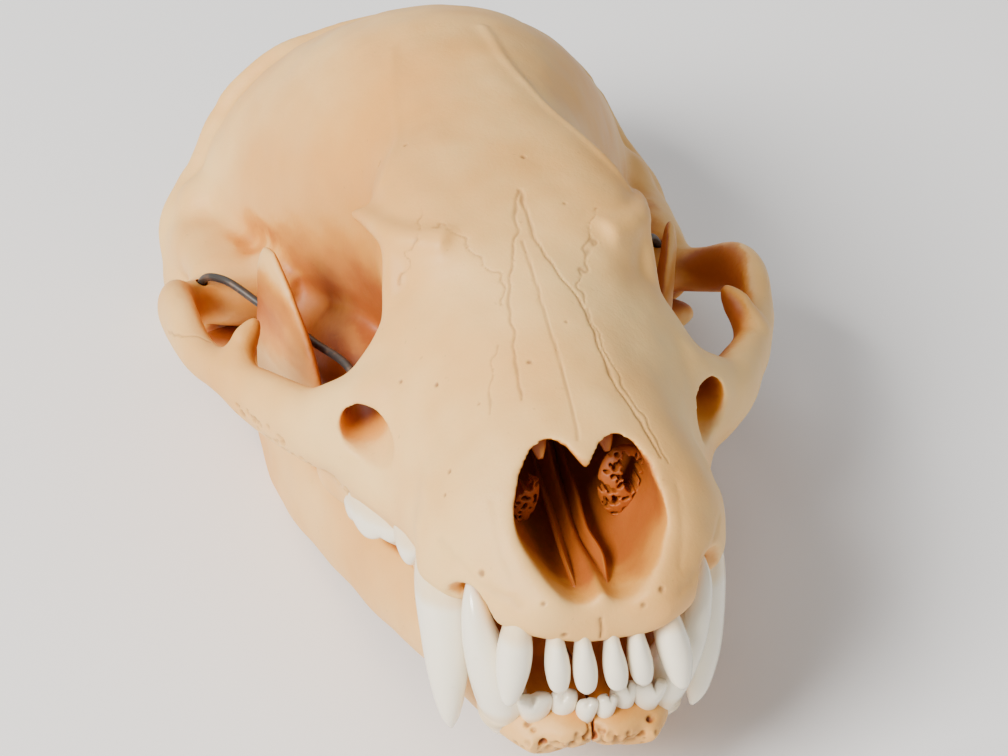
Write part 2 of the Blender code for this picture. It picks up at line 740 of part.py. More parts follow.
def rest_on_floor(parts, bones, pose):
    """Tips the skull back to rest on its jaw and ear spurs, and flattens them on the floor."""
    pose.rotation_euler = (-REST_TILT, 0.0, 0.0)
    low, high = world_bounds(parts)
    middle = (low + high) / 2
    floor = low[2] + REST_FLAT * MM
    pose.location = (-middle[0], -middle[1], -floor)
    bpy.context.view_layer.update()
    for bone in bones:
        ground = collection("ground")
        bm = bmesh.new()
        bmesh.ops.create_cube(bm, size=1.0)
        width, length, height = (MM * size for size in FLOOR_BLOCK)
        down = Matrix.Translation((0.0, 0.0, -height / 2))
        slab = down @ Matrix.Diagonal((width, length, height, 1.0))
        bmesh.ops.transform(bm, matrix=bone.matrix_world.inverted() @ slab, verts=bm.verts)
        bmesh.ops.scale(bm, vec=(1 / MM, 1 / MM, 1 / MM), verts=bm.verts)
        cutter = link_mesh("floor", bm, ground)
        cutter.matrix_world = bone.matrix_world
        boolean(bone, ground, "DIFFERENCE")


def main():
    """Builds every node of the skull."""
    clear_scene()
    skull = collection("badger_skull")
    pose = bpy.data.objects.new("skull_pose", None)
    skull.objects.link(pose)
    cranium = build_cranium(skull)
    jaws = [build_jaw(side, skull) for side in SIDES]
    wires = [
        build_wire("jaw_wire_right", WIRE_RIGHT, skull),
        build_wire("jaw_wire_left", WIRE_LEFT, skull),
    ]
    bone = material("bone", (0.80, 0.62, 0.40), 0.5, 0.0)
    jaw_bone = material("jaw_bone", (0.78, 0.58, 0.36), 0.5, 0.0)
    wire = material("wire", (0.11, 0.10, 0.09), 0.45, 0.8)
    parts = [cranium, *jaws, *wires]
    for part, finish in zip(parts, (bone, jaw_bone, jaw_bone, wire, wire)):
        part.data.materials.clear()
        part.data.materials.append(finish)
        part.parent = pose
    rest_on_floor(parts, [cranium, *jaws], pose)


main()
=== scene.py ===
"""A badger skull with its jaw wired on, at rest on a pale floor: the finished look over the part.

Sizes are in millimetres in the skull's own frame: X runs to the skull's left, Y backwards from
the gum line between the middle upper incisors, and Z up from the plane of the upper tooth row.
Each piece is then tipped back and set down with the same pose as the part.
"""

import json
import logging
import math
from collections.abc import Iterable, Sequence
from dataclasses import dataclass, field
from enum import Enum

import bmesh
import bpy
import numpy as np
from mathutils import Matrix, Vector, kdtree
from mathutils.bvhtree import BVHTree

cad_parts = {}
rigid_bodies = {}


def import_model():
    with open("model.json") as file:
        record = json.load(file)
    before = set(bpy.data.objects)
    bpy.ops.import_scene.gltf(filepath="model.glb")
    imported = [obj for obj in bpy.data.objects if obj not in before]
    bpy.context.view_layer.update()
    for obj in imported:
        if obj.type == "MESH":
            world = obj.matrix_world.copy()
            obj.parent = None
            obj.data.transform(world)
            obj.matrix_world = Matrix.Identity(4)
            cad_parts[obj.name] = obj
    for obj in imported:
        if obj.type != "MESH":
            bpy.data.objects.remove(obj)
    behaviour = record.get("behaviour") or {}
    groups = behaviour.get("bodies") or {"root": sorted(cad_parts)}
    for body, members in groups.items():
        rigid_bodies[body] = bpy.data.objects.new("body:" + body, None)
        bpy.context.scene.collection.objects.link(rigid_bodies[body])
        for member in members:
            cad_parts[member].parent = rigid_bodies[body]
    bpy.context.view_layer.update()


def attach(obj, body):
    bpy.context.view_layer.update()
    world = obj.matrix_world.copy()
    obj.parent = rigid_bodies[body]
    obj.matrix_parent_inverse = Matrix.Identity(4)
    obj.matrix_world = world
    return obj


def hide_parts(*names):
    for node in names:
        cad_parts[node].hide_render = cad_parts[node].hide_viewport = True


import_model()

LOG = logging.getLogger("badger_skull")
MM = 0.001
BODY = "root"
REST_TILT = math.radians(14.3)
REST_PLACE = (0.0, -62.2014, 33.0962)
BONE_VOXEL = 0.42
CAD_VOXEL = 0.9
SEED = 7
BALL_POINTS = 40
BALL_RINGS = 26
BALL_POLE = 0.02

Rows = Sequence[Sequence[float]]
Skin = tuple[np.ndarray, list[tuple[int, ...]]]
Ball = tuple[tuple[float, float, float], tuple[float, float, float]]


class Side(Enum):
    """The side of the skull that a piece belongs to."""

    RIGHT = -1
    LEFT = 1


def pose_matrix() -> Matrix:
    """The matrix from the skull's frame in millimetres to the world in metres."""
    place = Matrix.Translation([MM * value for value in REST_PLACE])
    return place @ Matrix.Rotation(-REST_TILT, 4, "X") @ Matrix.Scale(MM, 4)


def smooth_rows(rows: Rows, step: float) -> np.ndarray:
    """Adds rows between those of a table, on a smooth curve through all of them.

    Args:
        rows: The table, with a point in its first three columns.
        step: The distance between the new rows.

    Returns:
        The longer table.
    """
    table = np.array(rows, float)
    spans = np.linalg.norm(np.diff(table[:, :3], axis=0), axis=1)
    along = np.concatenate([[0.0], np.cumsum(spans)])
    slopes = np.gradient(table, along, axis=0)
    at = np.linspace(0.0, along[-1], max(2, math.ceil(along[-1] / step)) + 1)
    k = np.clip(np.searchsorted(along, at, side="right") - 1, 0, len(table) - 2)
    span = (along[k + 1] - along[k])[:, None]
    t = (at - along[k])[:, None] / span
    start = (1 + 2 * t) * (1 - t) ** 2 * table[k] + t * (1 - t) ** 2 * span * slopes[k]
    end = t * t * (3 - 2 * t) * table[k + 1] - t * t * (1 - t) * span * slopes[k + 1]
    return start + end


def ease(low: float, high: float, value: np.ndarray) -> np.ndarray:
    """A smooth step from 0 at low to 1 at high."""
    t = np.clip((value - low) / (high - low), 0.0, 1.0)
    return t * t * (3 - 2 * t)


def ripple(points: np.ndarray, length: float, seed: int, waves: int = 9) -> np.ndarray:
    """Smooth noise from about -1 to 1, as a sum of waves in seeded directions.

    Args:
        points: Where it is wanted, one point a row.
        length: About the length of a wave.
        seed: The seed of the directions.
        waves: How many waves are summed.

    Returns:
        One value a point.
    """
    draw = np.random.default_rng(seed)
    total = np.zeros(len(points))
    for _ in range(waves):
        way = draw.normal(size=3)
        way /= np.linalg.norm(way)
        size = 2 * math.pi / (length * draw.uniform(0.6, 1.5))
        total += np.sin(points @ way * size + draw.uniform(0, 2 * math.pi))
    return total / math.sqrt(waves)


def skin_of(rings: Iterable[np.ndarray]) -> Skin:
    """A closed skin over rings of points that all have the same count, with flat ends."""
    stack = [np.asarray(ring, float) for ring in rings]
    count = len(stack[0])
    faces: list[tuple[int, ...]] = []
    for k in range(len(stack) - 1):
        low, high = k * count, (k + 1) * count
        for i in range(count):
            j = (i + 1) % count
            faces.append((low + i, low + j, high + j, high + i))
    faces.append(tuple(range(count)))
    faces.append(tuple(range(len(stack) * count - 1, (len(stack) - 1) * count - 1, -1)))
    return np.concatenate(stack), faces


def turns(count: int, offset: float = 0.0) -> np.ndarray:
    """Evenly spaced angles round a full turn."""
    return 2 * math.pi * (np.arange(count) + offset) / count


def skull_rings(rows: Rows, step: float = 1.0, count: int = 72) -> list[np.ndarray]:
    """Cross sections of the skull, each a superellipse above its widest level and one below.

    Args:
        rows: Stations of y, half width, level, top, bottom, upper power and lower power.
        step: The distance between sections.
        count: The points in a section.

    Returns:
        The rings of points.
    """
    angle = turns(count)
    cos, sin = np.cos(angle), np.sin(angle)
    upper = angle <= math.pi
    rings = []
    for y, half, level, top, bottom, power_up, power_down in smooth_rows(rows, step):
        power = np.where(upper, power_up, power_down)
        height = np.where(upper, top - level, level - bottom)
        across = np.sign(cos) * np.abs(cos) ** (2 / power) * half
        up = level + height * np.sign(sin) * np.abs(sin) ** (2 / power)
        rings.append(np.column_stack([across, np.full(count, y), up]))
    return rings


def bar(rows: Rows, side: int = 1, count: int = 24, step: float = 1.0, grow: float = 0.0) -> Skin:
    """A bar swept through stations of x, y, z, half thickness and half height.

    Args:
        rows: The stations.
        side: 1 for the skull's left, -1 for its right.
        count: The points round it.
        step: The distance between its rings.
        grow: How much thicker it is made all round.

    Returns:
        The closed skin.
    """
    table = smooth_rows(rows, step)
    table[:, 0] *= side
    points = [Vector(row[:3]) for row in table]
    angle = turns(count)
    rings = []
    for k, row in enumerate(table):
        ahead = points[min(k + 1, len(points) - 1)] - points[max(k - 1, 0)]
        ahead.normalize()
        guide = Vector((0, 0, 1)) if abs(ahead.z) < 0.8 else Vector((0, 1, 0))
        across = ahead.cross(guide).normalized()
        up = across.cross(ahead)
        out = np.outer(np.cos(angle) * (row[3] + grow), across)
        rise = np.outer(np.sin(angle) * (row[4] + grow), up)
        rings.append(np.array(points[k]) + out + rise)
    return skin_of(rings)


def ball(shape: Ball, side: int = 1, grow: float = 0.0) -> Skin:
    """An ellipsoid from its centre and radii."""
    centre = np.array(shape[0]) * (side, 1, 1)
    size = np.array(shape[1]) + grow
    angle = turns(BALL_POINTS)
    rings = []
    for tip in np.linspace(BALL_POLE, math.pi - BALL_POLE, BALL_RINGS):
        ring = [math.sin(tip) * np.cos(angle), math.sin(tip) * np.sin(angle)]
        level = np.full(BALL_POINTS, -math.cos(tip))
        rings.append(np.column_stack([*ring, level]) * size + centre)
    return skin_of(rings)


def mesh_object(name: str, skin: Skin) -> bpy.types.Object:
    """A mesh object in the scene from a skin, with its faces turned outwards."""
    mesh = bpy.data.meshes.new(name)
    mesh.from_pydata(skin[0].tolist(), [], skin[1])
    bm = bmesh.new()
    bm.from_mesh(mesh)
    bmesh.ops.recalc_face_normals(bm, faces=bm.faces)
    bm.to_mesh(mesh)
    bm.free()
    made = bpy.data.objects.new(name, mesh)
    bpy.context.scene.collection.objects.link(made)
    return made


def coordinates(mesh: bpy.types.Mesh, what: str = "co") -> np.ndarray:
    """The places or the normals of a mesh's vertices, one a row."""
    values = np.empty(len(mesh.vertices) * 3, np.float32)
    mesh.vertices.foreach_get(what, values)
    return values.reshape(-1, 3).astype(float)


def bake(obj: bpy.types.Object) -> None:
    """Makes the object's mesh what its modifiers show."""
    bpy.context.view_layer.update()
    graph = bpy.context.evaluated_depsgraph_get()
    made = bpy.data.meshes.new_from_object(obj.evaluated_get(graph))
    old = obj.data
    obj.modifiers.clear()
    obj.data = made
    bpy.data.meshes.remove(old)


class Solid:
    """A closed surface that other closed skins are joined to or cut from."""

    def __init__(self, name: str, skin: Skin) -> None:
        """Starts from one skin."""
        self.obj = mesh_object(name, skin)

    def _combine(self, skins: Iterable[Skin], operation: str) -> None:
        """Runs one Boolean with all the skins, then removes their objects."""
        group = bpy.data.collections.new("pieces")
        bpy.context.scene.collection.children.link(group)
        for skin in skins:
            piece = mesh_object("piece", skin)
            bpy.context.scene.collection.objects.unlink(piece)
            group.objects.link(piece)
        step = self.obj.modifiers.new(operation, "BOOLEAN")
        step.operation = operation
        step.operand_type = "COLLECTION"
        step.collection = group
        step.solver = "MANIFOLD"
        bake(self.obj)
        for piece in list(group.objects):
            bpy.data.objects.remove(piece, do_unlink=True)
        bpy.data.collections.remove(group)

    def join(self, skins: Iterable[Skin]) -> None:
        """Joins the skins to the solid."""
        self._combine(skins, "UNION")

    def cut(self, skins: Iterable[Skin]) -> None:
        """Cuts the skins from the solid."""
        self._combine(skins, "DIFFERENCE")

    def soften(self, rounds: float, voxel: float = BONE_VOXEL) -> None:
        """Rebuilds the surface with even faces and rounds its creases as the part's are.

        Args:
            rounds: The rounds of smoothing that the part's coarser faces get.
            voxel: The size of the new faces.
        """
        remesh = self.obj.modifiers.new("Even faces", "REMESH")
        remesh.mode = "VOXEL"
        remesh.voxel_size = voxel
        smooth = self.obj.modifiers.new("Round creases", "SMOOTH")
        smooth.factor = 0.5
        smooth.iterations = round(rounds * (CAD_VOXEL / voxel) ** 2)
        bake(self.obj)

    def largest(self) -> None:
        """Keeps only the largest connected surface."""
        mesh = self.obj.data
        ends = np.empty(len(mesh.edges) * 2, np.int32)
        mesh.edges.foreach_get("vertices", ends)
        first, second = ends.reshape(-1, 2).T
        label = np.arange(len(mesh.vertices))
        while True:
            low = np.minimum(label[first], label[second])
            fresh = label.copy()
            np.minimum.at(fresh, first, low)
            np.minimum.at(fresh, second, low)
            fresh = fresh[fresh]
            if (fresh == label).all():
                break
            label = fresh
        names, counts = np.unique(label, return_counts=True)
        if len(names) == 1:
            return
        drop = np.flatnonzero(label != names[counts.argmax()])
        bm = bmesh.new()
        bm.from_mesh(mesh)
        bm.verts.ensure_lookup_table()
        bmesh.ops.delete(bm, geom=[bm.verts[i] for i in drop], context="VERTS")
        bm.to_mesh(mesh)
        bm.free()


@dataclass(frozen=True)
class Line:
    """A line on the bone: a groove or a ridge with its colour.

    Args:
        points: Points on or near the bone that it runs through.
        width: How wide it is.
        height: How high it stands, below zero for a groove.
        dirt: How dark it is, from 0 to 1.
        wander: How far it strays from side to side.
        both: Whether the other side of the skull has it too.
    """

    points: Rows
    width: float
    height: float
    # How dark the line is painted: real dark joints and dirt, with painted shade in the groove.
    dirt: float = 0.0
    wander: float = 0.0
    both: bool = False


@dataclass(frozen=True)
class Spot:
    """A pit or a bump on the bone: its place, radius, height and painted shade with some dirt."""

    place: tuple[float, float, float]
    radius: float
    height: float
    # How dark the spot is painted: painted shade in the pit, with some real dirt.
    dirt: float = 0.0
    both: bool = False


class Relief:
    """The fine shape of a bone: lines, spots and ripples pushed into its surface.

    A path is followed in steps of PATH_STEP and reaches the surface within BAND above or below
    it. Lines wander in waves of WANDER_WAVE, and pits have ragged edges in waves of RAGGED_WAVE.
    """

    PATH_STEP: float = 1.5
    BAND: float = 3.0
    WANDER_WAVE: float = 2.6
    RAGGED_WAVE: float = 2.0

    def __init__(self, obj: bpy.types.Object) -> None:
        """Reads the surface of the object, which is still in the skull's frame."""
        self.obj = obj
        self.points = np.empty(0)
        self.normals = np.empty(0)
        self.read()

    def read(self) -> None:
        """Reads the mesh again, after its faces have changed."""
        self.points = coordinates(self.obj.data)
        self.normals = coordinates(self.obj.data, "normal")
        self.push = np.zeros(len(self.points))
        self.dirt = np.zeros(len(self.points))

    def distance(self, path: Rows, wander: float, reach: float) -> np.ndarray:
        """How far each vertex is from a path, measured along the surface.

        Args:
            path: The points of the path.
            wander: How far the path strays from side to side.
            reach: The largest distance that matters.

        Returns:
            The distances, no larger than reach.
        """
        rows = smooth_rows(path, self.PATH_STEP)
        far = np.full(len(self.points), reach)
        low = rows.min(axis=0) - reach - self.BAND
        high = rows.max(axis=0) + reach + self.BAND
        near = np.flatnonzero(((self.points > low) & (self.points < high)).all(axis=1))
        if not len(near):
            return far
        at = self.points[near].copy()
        if wander:
            for axis in range(3):
                stray = ripple(self.points[near], self.WANDER_WAVE, SEED + axis)
                at[:, axis] += wander * stray
        normal = self.normals[near]
        best = np.full(len(near), reach)
        for start, end in zip(rows[:-1], rows[1:]):
            span = end - start
            t = np.clip((at - start) @ span / (span @ span), 0.0, 1.0)
            gap = at - start - t[:, None] * span
            lift = (gap * normal).sum(axis=1)
            flat = np.linalg.norm(gap - lift[:, None] * normal, axis=1)
            best = np.minimum(best, np.where(np.abs(lift) < self.BAND, flat, reach))
        far[near] = best
        return far

    def refine(self, lines: Iterable[Line], spots: Iterable[Spot], margin: float) -> None:
        """Splits the faces near the lines and spots in four."""
        close = np.zeros(len(self.points), bool)
        for line in lines:
            for path in paths_of(line):
                reach = line.width + margin
                close |= self.distance(path, line.wander, reach) < reach
        for spot in spots:
            for place in places_of(spot):
                close |= self.gap_to(place) < spot.radius * 1.6 + margin
        bm = bmesh.new()
        bm.from_mesh(self.obj.data)
        edges = [e for e in bm.edges if close[e.verts[0].index] and close[e.verts[1].index]]
        bmesh.ops.subdivide_edges(bm, edges=edges, cuts=1, use_grid_fill=True, smooth=0.0)
        bm.to_mesh(self.obj.data)
        bm.free()
        self.read()

    def draw(self, line: Line) -> None:
        """Adds a groove or a ridge."""
        for path in paths_of(line):
            gap = self.distance(path, line.wander, 3 * line.width)
            shape = np.exp(-((gap / line.width) ** 2) * 2.0)
            self.push += line.height * shape
            # Darkens the colour along the groove: dark joints, with painted shade in the groove.
            self.dirt = np.maximum(self.dirt, line.dirt * shape)

    def dot(self, spot: Spot) -> None:
        """Adds a pit or a bump."""
        for place in places_of(spot):
            gap = self.gap_to(place)
            near = np.flatnonzero(gap < 3 * spot.radius)
            ragged = gap[near] * (1 + 0.2 * ripple(self.points[near], self.RAGGED_WAVE, SEED))
            shape = np.exp(-((ragged / spot.radius) ** 4))
            self.push[near] += spot.height * shape
            # Darkens the colour in the pit: painted shade, with some real dirt.
            self.dirt[near] = np.maximum(self.dirt[near], spot.dirt * shape)

    def gap_to(self, place: np.ndarray) -> np.ndarray:
        """How far each vertex is from the vertex nearest to a place."""
        gap = np.linalg.norm(self.points - place, axis=1)
        return np.linalg.norm(self.points - self.points[gap.argmin()], axis=1)

    def finish(self) -> None:
        """Moves the vertices by what has been added."""
        moved = self.points + self.normals * self.push[:, None]
        self.obj.data.vertices.foreach_set("co", moved.astype(np.float32).ravel())
        self.obj.data.update()
        self.points = moved

    def write(self, name: str, values: np.ndarray) -> None:
        """Stores one number a vertex for the finish to read."""
        layer = self.obj.data.attributes.new(name, "FLOAT", "POINT")
        layer.data.foreach_set("value", values.astype(np.float32))


def porous(path: Rows, count: int, spread: float, seed: int) -> tuple[Spot, ...]:
    """Small pits scattered along a path, on both sides of the skull.

    Args:
        path: The path's points.
        count: How many pits there are.
        spread: How far they stray from it.
        seed: The seed of the scatter.

    Returns:
        The pits.
    """
    step, smallest, largest, steep, palest_pit, darkest_pit = 0.2, 0.2, 0.5, 0.6, 0.25, 0.7
    draw = np.random.default_rng(seed)
    rows = smooth_rows(path, step)
    places = rows[draw.integers(0, len(rows), count)] + draw.normal(0, spread, (count, 3))
    sizes = draw.uniform(smallest, largest, count)
    # Each pit is painted darker by a drawn amount: painted shade, with some real dirt.
    return tuple(
        Spot(tuple(place), size, -steep * size, draw.uniform(palest_pit, darkest_pit), True)
        for place, size in zip(places, sizes)
    )


def paths_of(line: Line) -> list[np.ndarray]:
    """The line's path, and its mirror image where both sides have it."""
    path = np.array(line.points, float)
    return [path, path * (-1, 1, 1)] if line.both else [path]


def places_of(spot: Spot) -> list[np.ndarray]:
    """The spot's place, and its mirror image where both sides have it."""
    place = np.array(spot.place, float)
    return [place, place * (-1, 1, 1)] if spot.both else [place]


def closeness(obj: bpy.types.Object, others: Sequence[bpy.types.Object]) -> np.ndarray:
    """How closed in each vertex is, from 0 open to 1 deep inside, for painted shade in hollows.

    Args:
        obj: The mesh whose vertices are read.
        others: The meshes that can close it in, itself among them.

    Returns:
        One number a vertex.
    """
    reach, rays, samples, apart = 28.0, 34, 20000, 1.2
    lift, lean, neighbours, blur = 0.25, 1.05, 8, 0.3
    points, normals = coordinates(obj.data), coordinates(obj.data, "normal")
    trees = []
    for other in others:
        other.data.calc_loop_triangles()
        faces = np.empty(len(other.data.loop_triangles) * 3, np.int32)
        other.data.loop_triangles.foreach_get("vertices", faces)
        spots = coordinates(other.data)
        trees.append(BVHTree.FromPolygons(spots.tolist(), faces.reshape(-1, 3).tolist()))
    draw = np.random.default_rng(SEED)
    ways = draw.normal(size=(rays, 3))
    ways /= np.linalg.norm(ways, axis=1)[:, None]
    picked = draw.choice(len(points), min(samples, len(points)), replace=False)
    tree = kdtree.KDTree(len(picked))
    shade = np.zeros(len(picked))
    for k, i in enumerate(picked):
        tree.insert(points[i] + normals[i] * apart, k)
        start = Vector(points[i] + normals[i] * lift)
        for way in ways:
            aim = normals[i] * lean + way
            for other in trees:
                hit = other.ray_cast(start, Vector(aim), reach)[3]
                if hit is not None:
                    shade[k] += 1 - 0.5 * hit / reach
                    break
    tree.balance()
    shade /= rays
    out = np.empty(len(points))
    for i, point in enumerate(points + normals * apart):
        found = tree.find_n(point, neighbours)
        weights = [1 / (gap + blur) for _, _, gap in found]
        total = sum(w * shade[k] for w, (_, k, _) in zip(weights, found))
        out[i] = total / sum(weights)
    return out


class Shade:
    """A shader socket that adds, multiplies and compares like a number."""

    def __init__(self, graph: "Graph", socket: bpy.types.NodeSocket) -> None:
        """Wraps one output socket of the graph."""
        self.graph = graph
        self.socket = socket

    @property
    def is_vector(self) -> bool:
        """Whether the socket carries a colour or a vector."""
        return self.socket.type in ("RGBA", "VECTOR")

    def _operate(self, operation: str, first: object, second: object) -> "Shade":
        """Adds one Math node, or Vector Math where a side is a colour or a vector."""
        wide = any(isinstance(s, Shade) and s.is_vector for s in (first, second))
        wide = wide or any(isinstance(s, tuple) for s in (first, second))
        if wide:
            first, second = ((s, s, s) if isinstance(s, float) else s for s in (first, second))
        kind = "ShaderNodeVectorMath" if wide else "ShaderNodeMath"
        return self.graph.make(kind, {"operation": operation}, {0: first, 1: second})

    def __add__(self, other: object) -> "Shade":
        """self + other."""
        return self._operate("ADD", self, other)

    def __radd__(self, other: object) -> "Shade":
        """other + self."""
        return self._operate("ADD", other, self)

    def __sub__(self, other: object) -> "Shade":
        """self - other."""
        return self._operate("SUBTRACT", self, other)

    def __rsub__(self, other: object) -> "Shade":
        """other - self."""
        return self._operate("SUBTRACT", other, self)

    def __mul__(self, other: object) -> "Shade":
        """self * other."""
        return self._operate("MULTIPLY", self, other)

    def __rmul__(self, other: object) -> "Shade":
        """other * self."""
        return self._operate("MULTIPLY", other, self)

    def __truediv__(self, other: object) -> "Shade":
        """self / other."""
        return self._operate("DIVIDE", self, other)

    def __rtruediv__(self, other: object) -> "Shade":
        """other / self."""
        return self._operate("DIVIDE", other, self)

    def __pow__(self, other: object) -> "Shade":
        """self to the power of other."""
        return self._operate("POWER", self, other)

    def step(self, low: float, high: float) -> "Shade":
        """A smooth step from 0 at low to 1 at high."""
        settings = {"interpolation_type": "SMOOTHSTEP"}
        values = {"Value": self, "From Min": low, "From Max": high}
        return self.graph.make("ShaderNodeMapRange", settings, values)

    def mix(self, low: object, high: object) -> "Shade":
        """The colour low where this is 0 and high where it is 1."""
        return self.graph.make(
            "ShaderNodeMix", {"data_type": "RGBA"}, {0: self, 6: low, 7: high}, output=2
        )


class Graph:
    """The nodes of one material."""

    def __init__(self, name: str) -> None:
        """Starts a material with a Principled shader."""
        self.material = bpy.data.materials.new(name)
        self.material.use_nodes = True
        self.nodes = self.material.node_tree.nodes
        self.links = self.material.node_tree.links
        self.shader = self.nodes["Principled BSDF"]
        self.place = self.make("ShaderNodeTexCoord", {}, {}, output="Object")

    def _feed(self, socket: bpy.types.NodeSocket, value: object) -> None:
        """Links a shade to a socket, or sets the socket's own value."""
        if isinstance(value, Shade):
            self.links.new(value.socket, socket)
        elif isinstance(value, tuple) and socket.type == "RGBA" and len(value) == 3:
            socket.default_value = (*value, 1.0)
        else:
            socket.default_value = value

    def make(
        self,
        kind: str,
        settings: dict[str, object],
        values: dict[int | str, object],
        output: int | str = 0,
    ) -> Shade:
        """Adds one node.

        Args:
            kind: The node's type.
            settings: Its own settings, which are set first.
            values: A value or a link for each socket, by its name or number.
            output: The output that is wanted.

        Returns:
            That output.
        """
        node = self.nodes.new(kind)
        for name, value in settings.items():
            setattr(node, name, value)
        for name, value in values.items():
            self._feed(node.inputs[name], value)
        return Shade(self, node.outputs[output])

    def noise(self, scale: float, detail: float = 3.0, rough: float = 0.55) -> Shade:
        """Noise from 0 to 1, with scale in waves a metre."""
        values = {"Vector": self.place, "Scale": scale, "Detail": detail, "Roughness": rough}
        return self.make("ShaderNodeTexNoise", {}, values, output="Fac")

    def stored(self, name: str) -> Shade:
        """A number that the mesh stores at its vertices."""
        settings = {"attribute_name": name, "attribute_type": "GEOMETRY"}
        return self.make("ShaderNodeAttribute", settings, {}, output="Fac")

    def bump(
        self, height: Shade, strength: float, depth: float, under: Shade | None = None
    ) -> Shade:
        """A normal from a height.

        Args:
            height: The height, from 0 to 1.
            strength: How strong the bump is.
            depth: The depth in metres.
            under: A normal that this one is added to.

        Returns:
            The normal.
        """
        values: dict[int | str, object] = {"Height": height, "Strength": strength}
        values["Distance"] = depth
        if under is not None:
            values["Normal"] = under
        return self.make("ShaderNodeBump", {}, values, output="Normal")

    def finish(self, values: dict[str, object]) -> bpy.types.Material:
        """Feeds the Principled shader and returns the material."""
        for name, value in values.items():
            self._feed(self.shader.inputs[name], value)
        return self.material


Colour = tuple[float, float, float]


@dataclass(frozen=True)
class BoneFinish:
    """Dry, cleaned bone: cream in the open, orange to brown painted shade and staining in hollows.
    """

    name: str
    cream: Colour = (0.85, 0.45, 0.12)
    pale: Colour = (0.93, 0.61, 0.23)
    # warm is the bone's own warm tone and also the painted shade of shallower hollows; deep is
    # painted shade in the deepest hollows.
    warm: Colour = (0.70, 0.29, 0.035)
    deep: Colour = (0.40, 0.095, 0.008)
    # Dark colour for real dirt specks and dark joints, and painted shade in pits.
    dirt: Colour = (0.16, 0.055, 0.016)
    roughness: float = 0.54

    def material(self) -> bpy.types.Material:
        """Builds the material."""
        graph = Graph(self.name)
        closed = graph.stored("closed")
        seam = graph.stored("dirt")
        zone = graph.stored("zone")
        broad = graph.noise(38.0)
        fine = graph.noise(260.0, detail=6.0)
        grain = graph.noise(1700.0, detail=4.0)
        speck = graph.noise(900.0, detail=2.0).step(0.70, 0.80)
        tone = broad.step(0.30, 0.72).mix(self.pale, self.cream)
        tone = (zone + (broad - 0.5) * 0.5).step(0.05, 0.95).mix(tone, self.warm)
        # Painted shade: the closeness mask turns hollows warm and then deep brown, with some real
        # staining.
        tone = (closed + (fine - 0.5) * 0.14).step(0.10, 0.30).mix(tone, self.warm)
        tone = (closed + (fine - 0.5) * 0.10).step(0.22, 0.54).mix(tone, self.deep)
        tone = (speck * 0.22).mix(tone, self.dirt)
        # Darkens grooves and pits: real dark joints and dirt, with painted shade in the pits.
        tone = (seam * 0.85).mix(tone, self.dirt)
        tone = tone * (0.94 + fine * 0.12)
        rough = self.roughness + (fine - 0.5) * 0.22 + seam * 0.2
        pores = grain.step(0.34, 0.62)
        normal = graph.bump(pores, 0.18, 0.00006)
        normal = graph.bump(fine, 0.30, 0.00022, normal)
        return graph.finish(
            {
                "Base Color": tone,
                "Roughness": rough,
                "Normal": normal,
                "Subsurface Weight": 0.12,
                "Subsurface Radius": (1.0, 0.45, 0.2),
                "Subsurface Scale": 0.0012,
            }
        )


@dataclass(frozen=True)
class EnamelFinish:
    """Glossy tooth enamel, white at the tip and a little yellow where it leaves the bone."""

    name: str
    white: Colour = (0.95, 0.86, 0.68)
    neck: Colour = (0.88, 0.68, 0.40)
    crack: Colour = (0.55, 0.42, 0.27)
    roughness: float = 0.16

    def material(self) -> bpy.types.Material:
        """Builds the material."""
        graph = Graph(self.name)
        neck = graph.stored("neck")
        cloud = graph.noise(420.0, detail=4.0)
        fine = graph.noise(2400.0)
        tone = (neck + (cloud - 0.5) * 0.35).step(0.45, 1.1).mix(self.white, self.neck)
        tone = (cloud.step(0.66, 0.80) * 0.25).mix(tone, self.crack)
        rough = self.roughness + cloud * 0.14
        normal = graph.bump(cloud, 0.12, 0.00012)
        normal = graph.bump(fine, 0.05, 0.00004, normal)
        return graph.finish(
            {
                "Base Color": tone,
                "Roughness": rough,
                "Normal": normal,
                "Coat Weight": 0.35,
                "Coat Roughness": 0.12,
                "Subsurface Weight": 0.15,
                "Subsurface Radius": (0.9, 0.7, 0.5),
                "Subsurface Scale": 0.0008,
            }
        )


@dataclass(frozen=True)
class WireFinish:
    """Dull dark annealed wire with a little brown bloom."""

    name: str
    dark: Colour = (0.075, 0.068, 0.062)
    bloom: Colour = (0.17, 0.11, 0.075)

    def material(self) -> bpy.types.Material:
        """Builds the material."""
        graph = Graph(self.name)
        cloud = graph.noise(700.0, detail=5.0)
        fine = graph.noise(4200.0)
        tone = cloud.step(0.48, 0.74).mix(self.dark, self.bloom)
        rough = 0.40 + cloud * 0.25
        normal = graph.bump(fine, 0.15, 0.00003)
        return graph.finish(
            {"Base Color": tone, "Metallic": 0.7, "Roughness": rough, "Normal": normal}
        )


@dataclass(frozen=True)
class FloorFinish:
    """A plain matt white board."""

    name: str
    white: Colour = (0.95, 0.95, 0.95)
    shade: Colour = (0.92, 0.92, 0.925)

    def material(self) -> bpy.types.Material:
        """Builds the material."""
        graph = Graph(self.name)
        cloud = graph.noise(9.0)
        tone = cloud.mix(self.white, self.shade)
        normal = graph.bump(graph.noise(900.0), 0.05, 0.0001)
        return graph.finish({"Base Color": tone, "Roughness": 0.75, "Normal": normal})


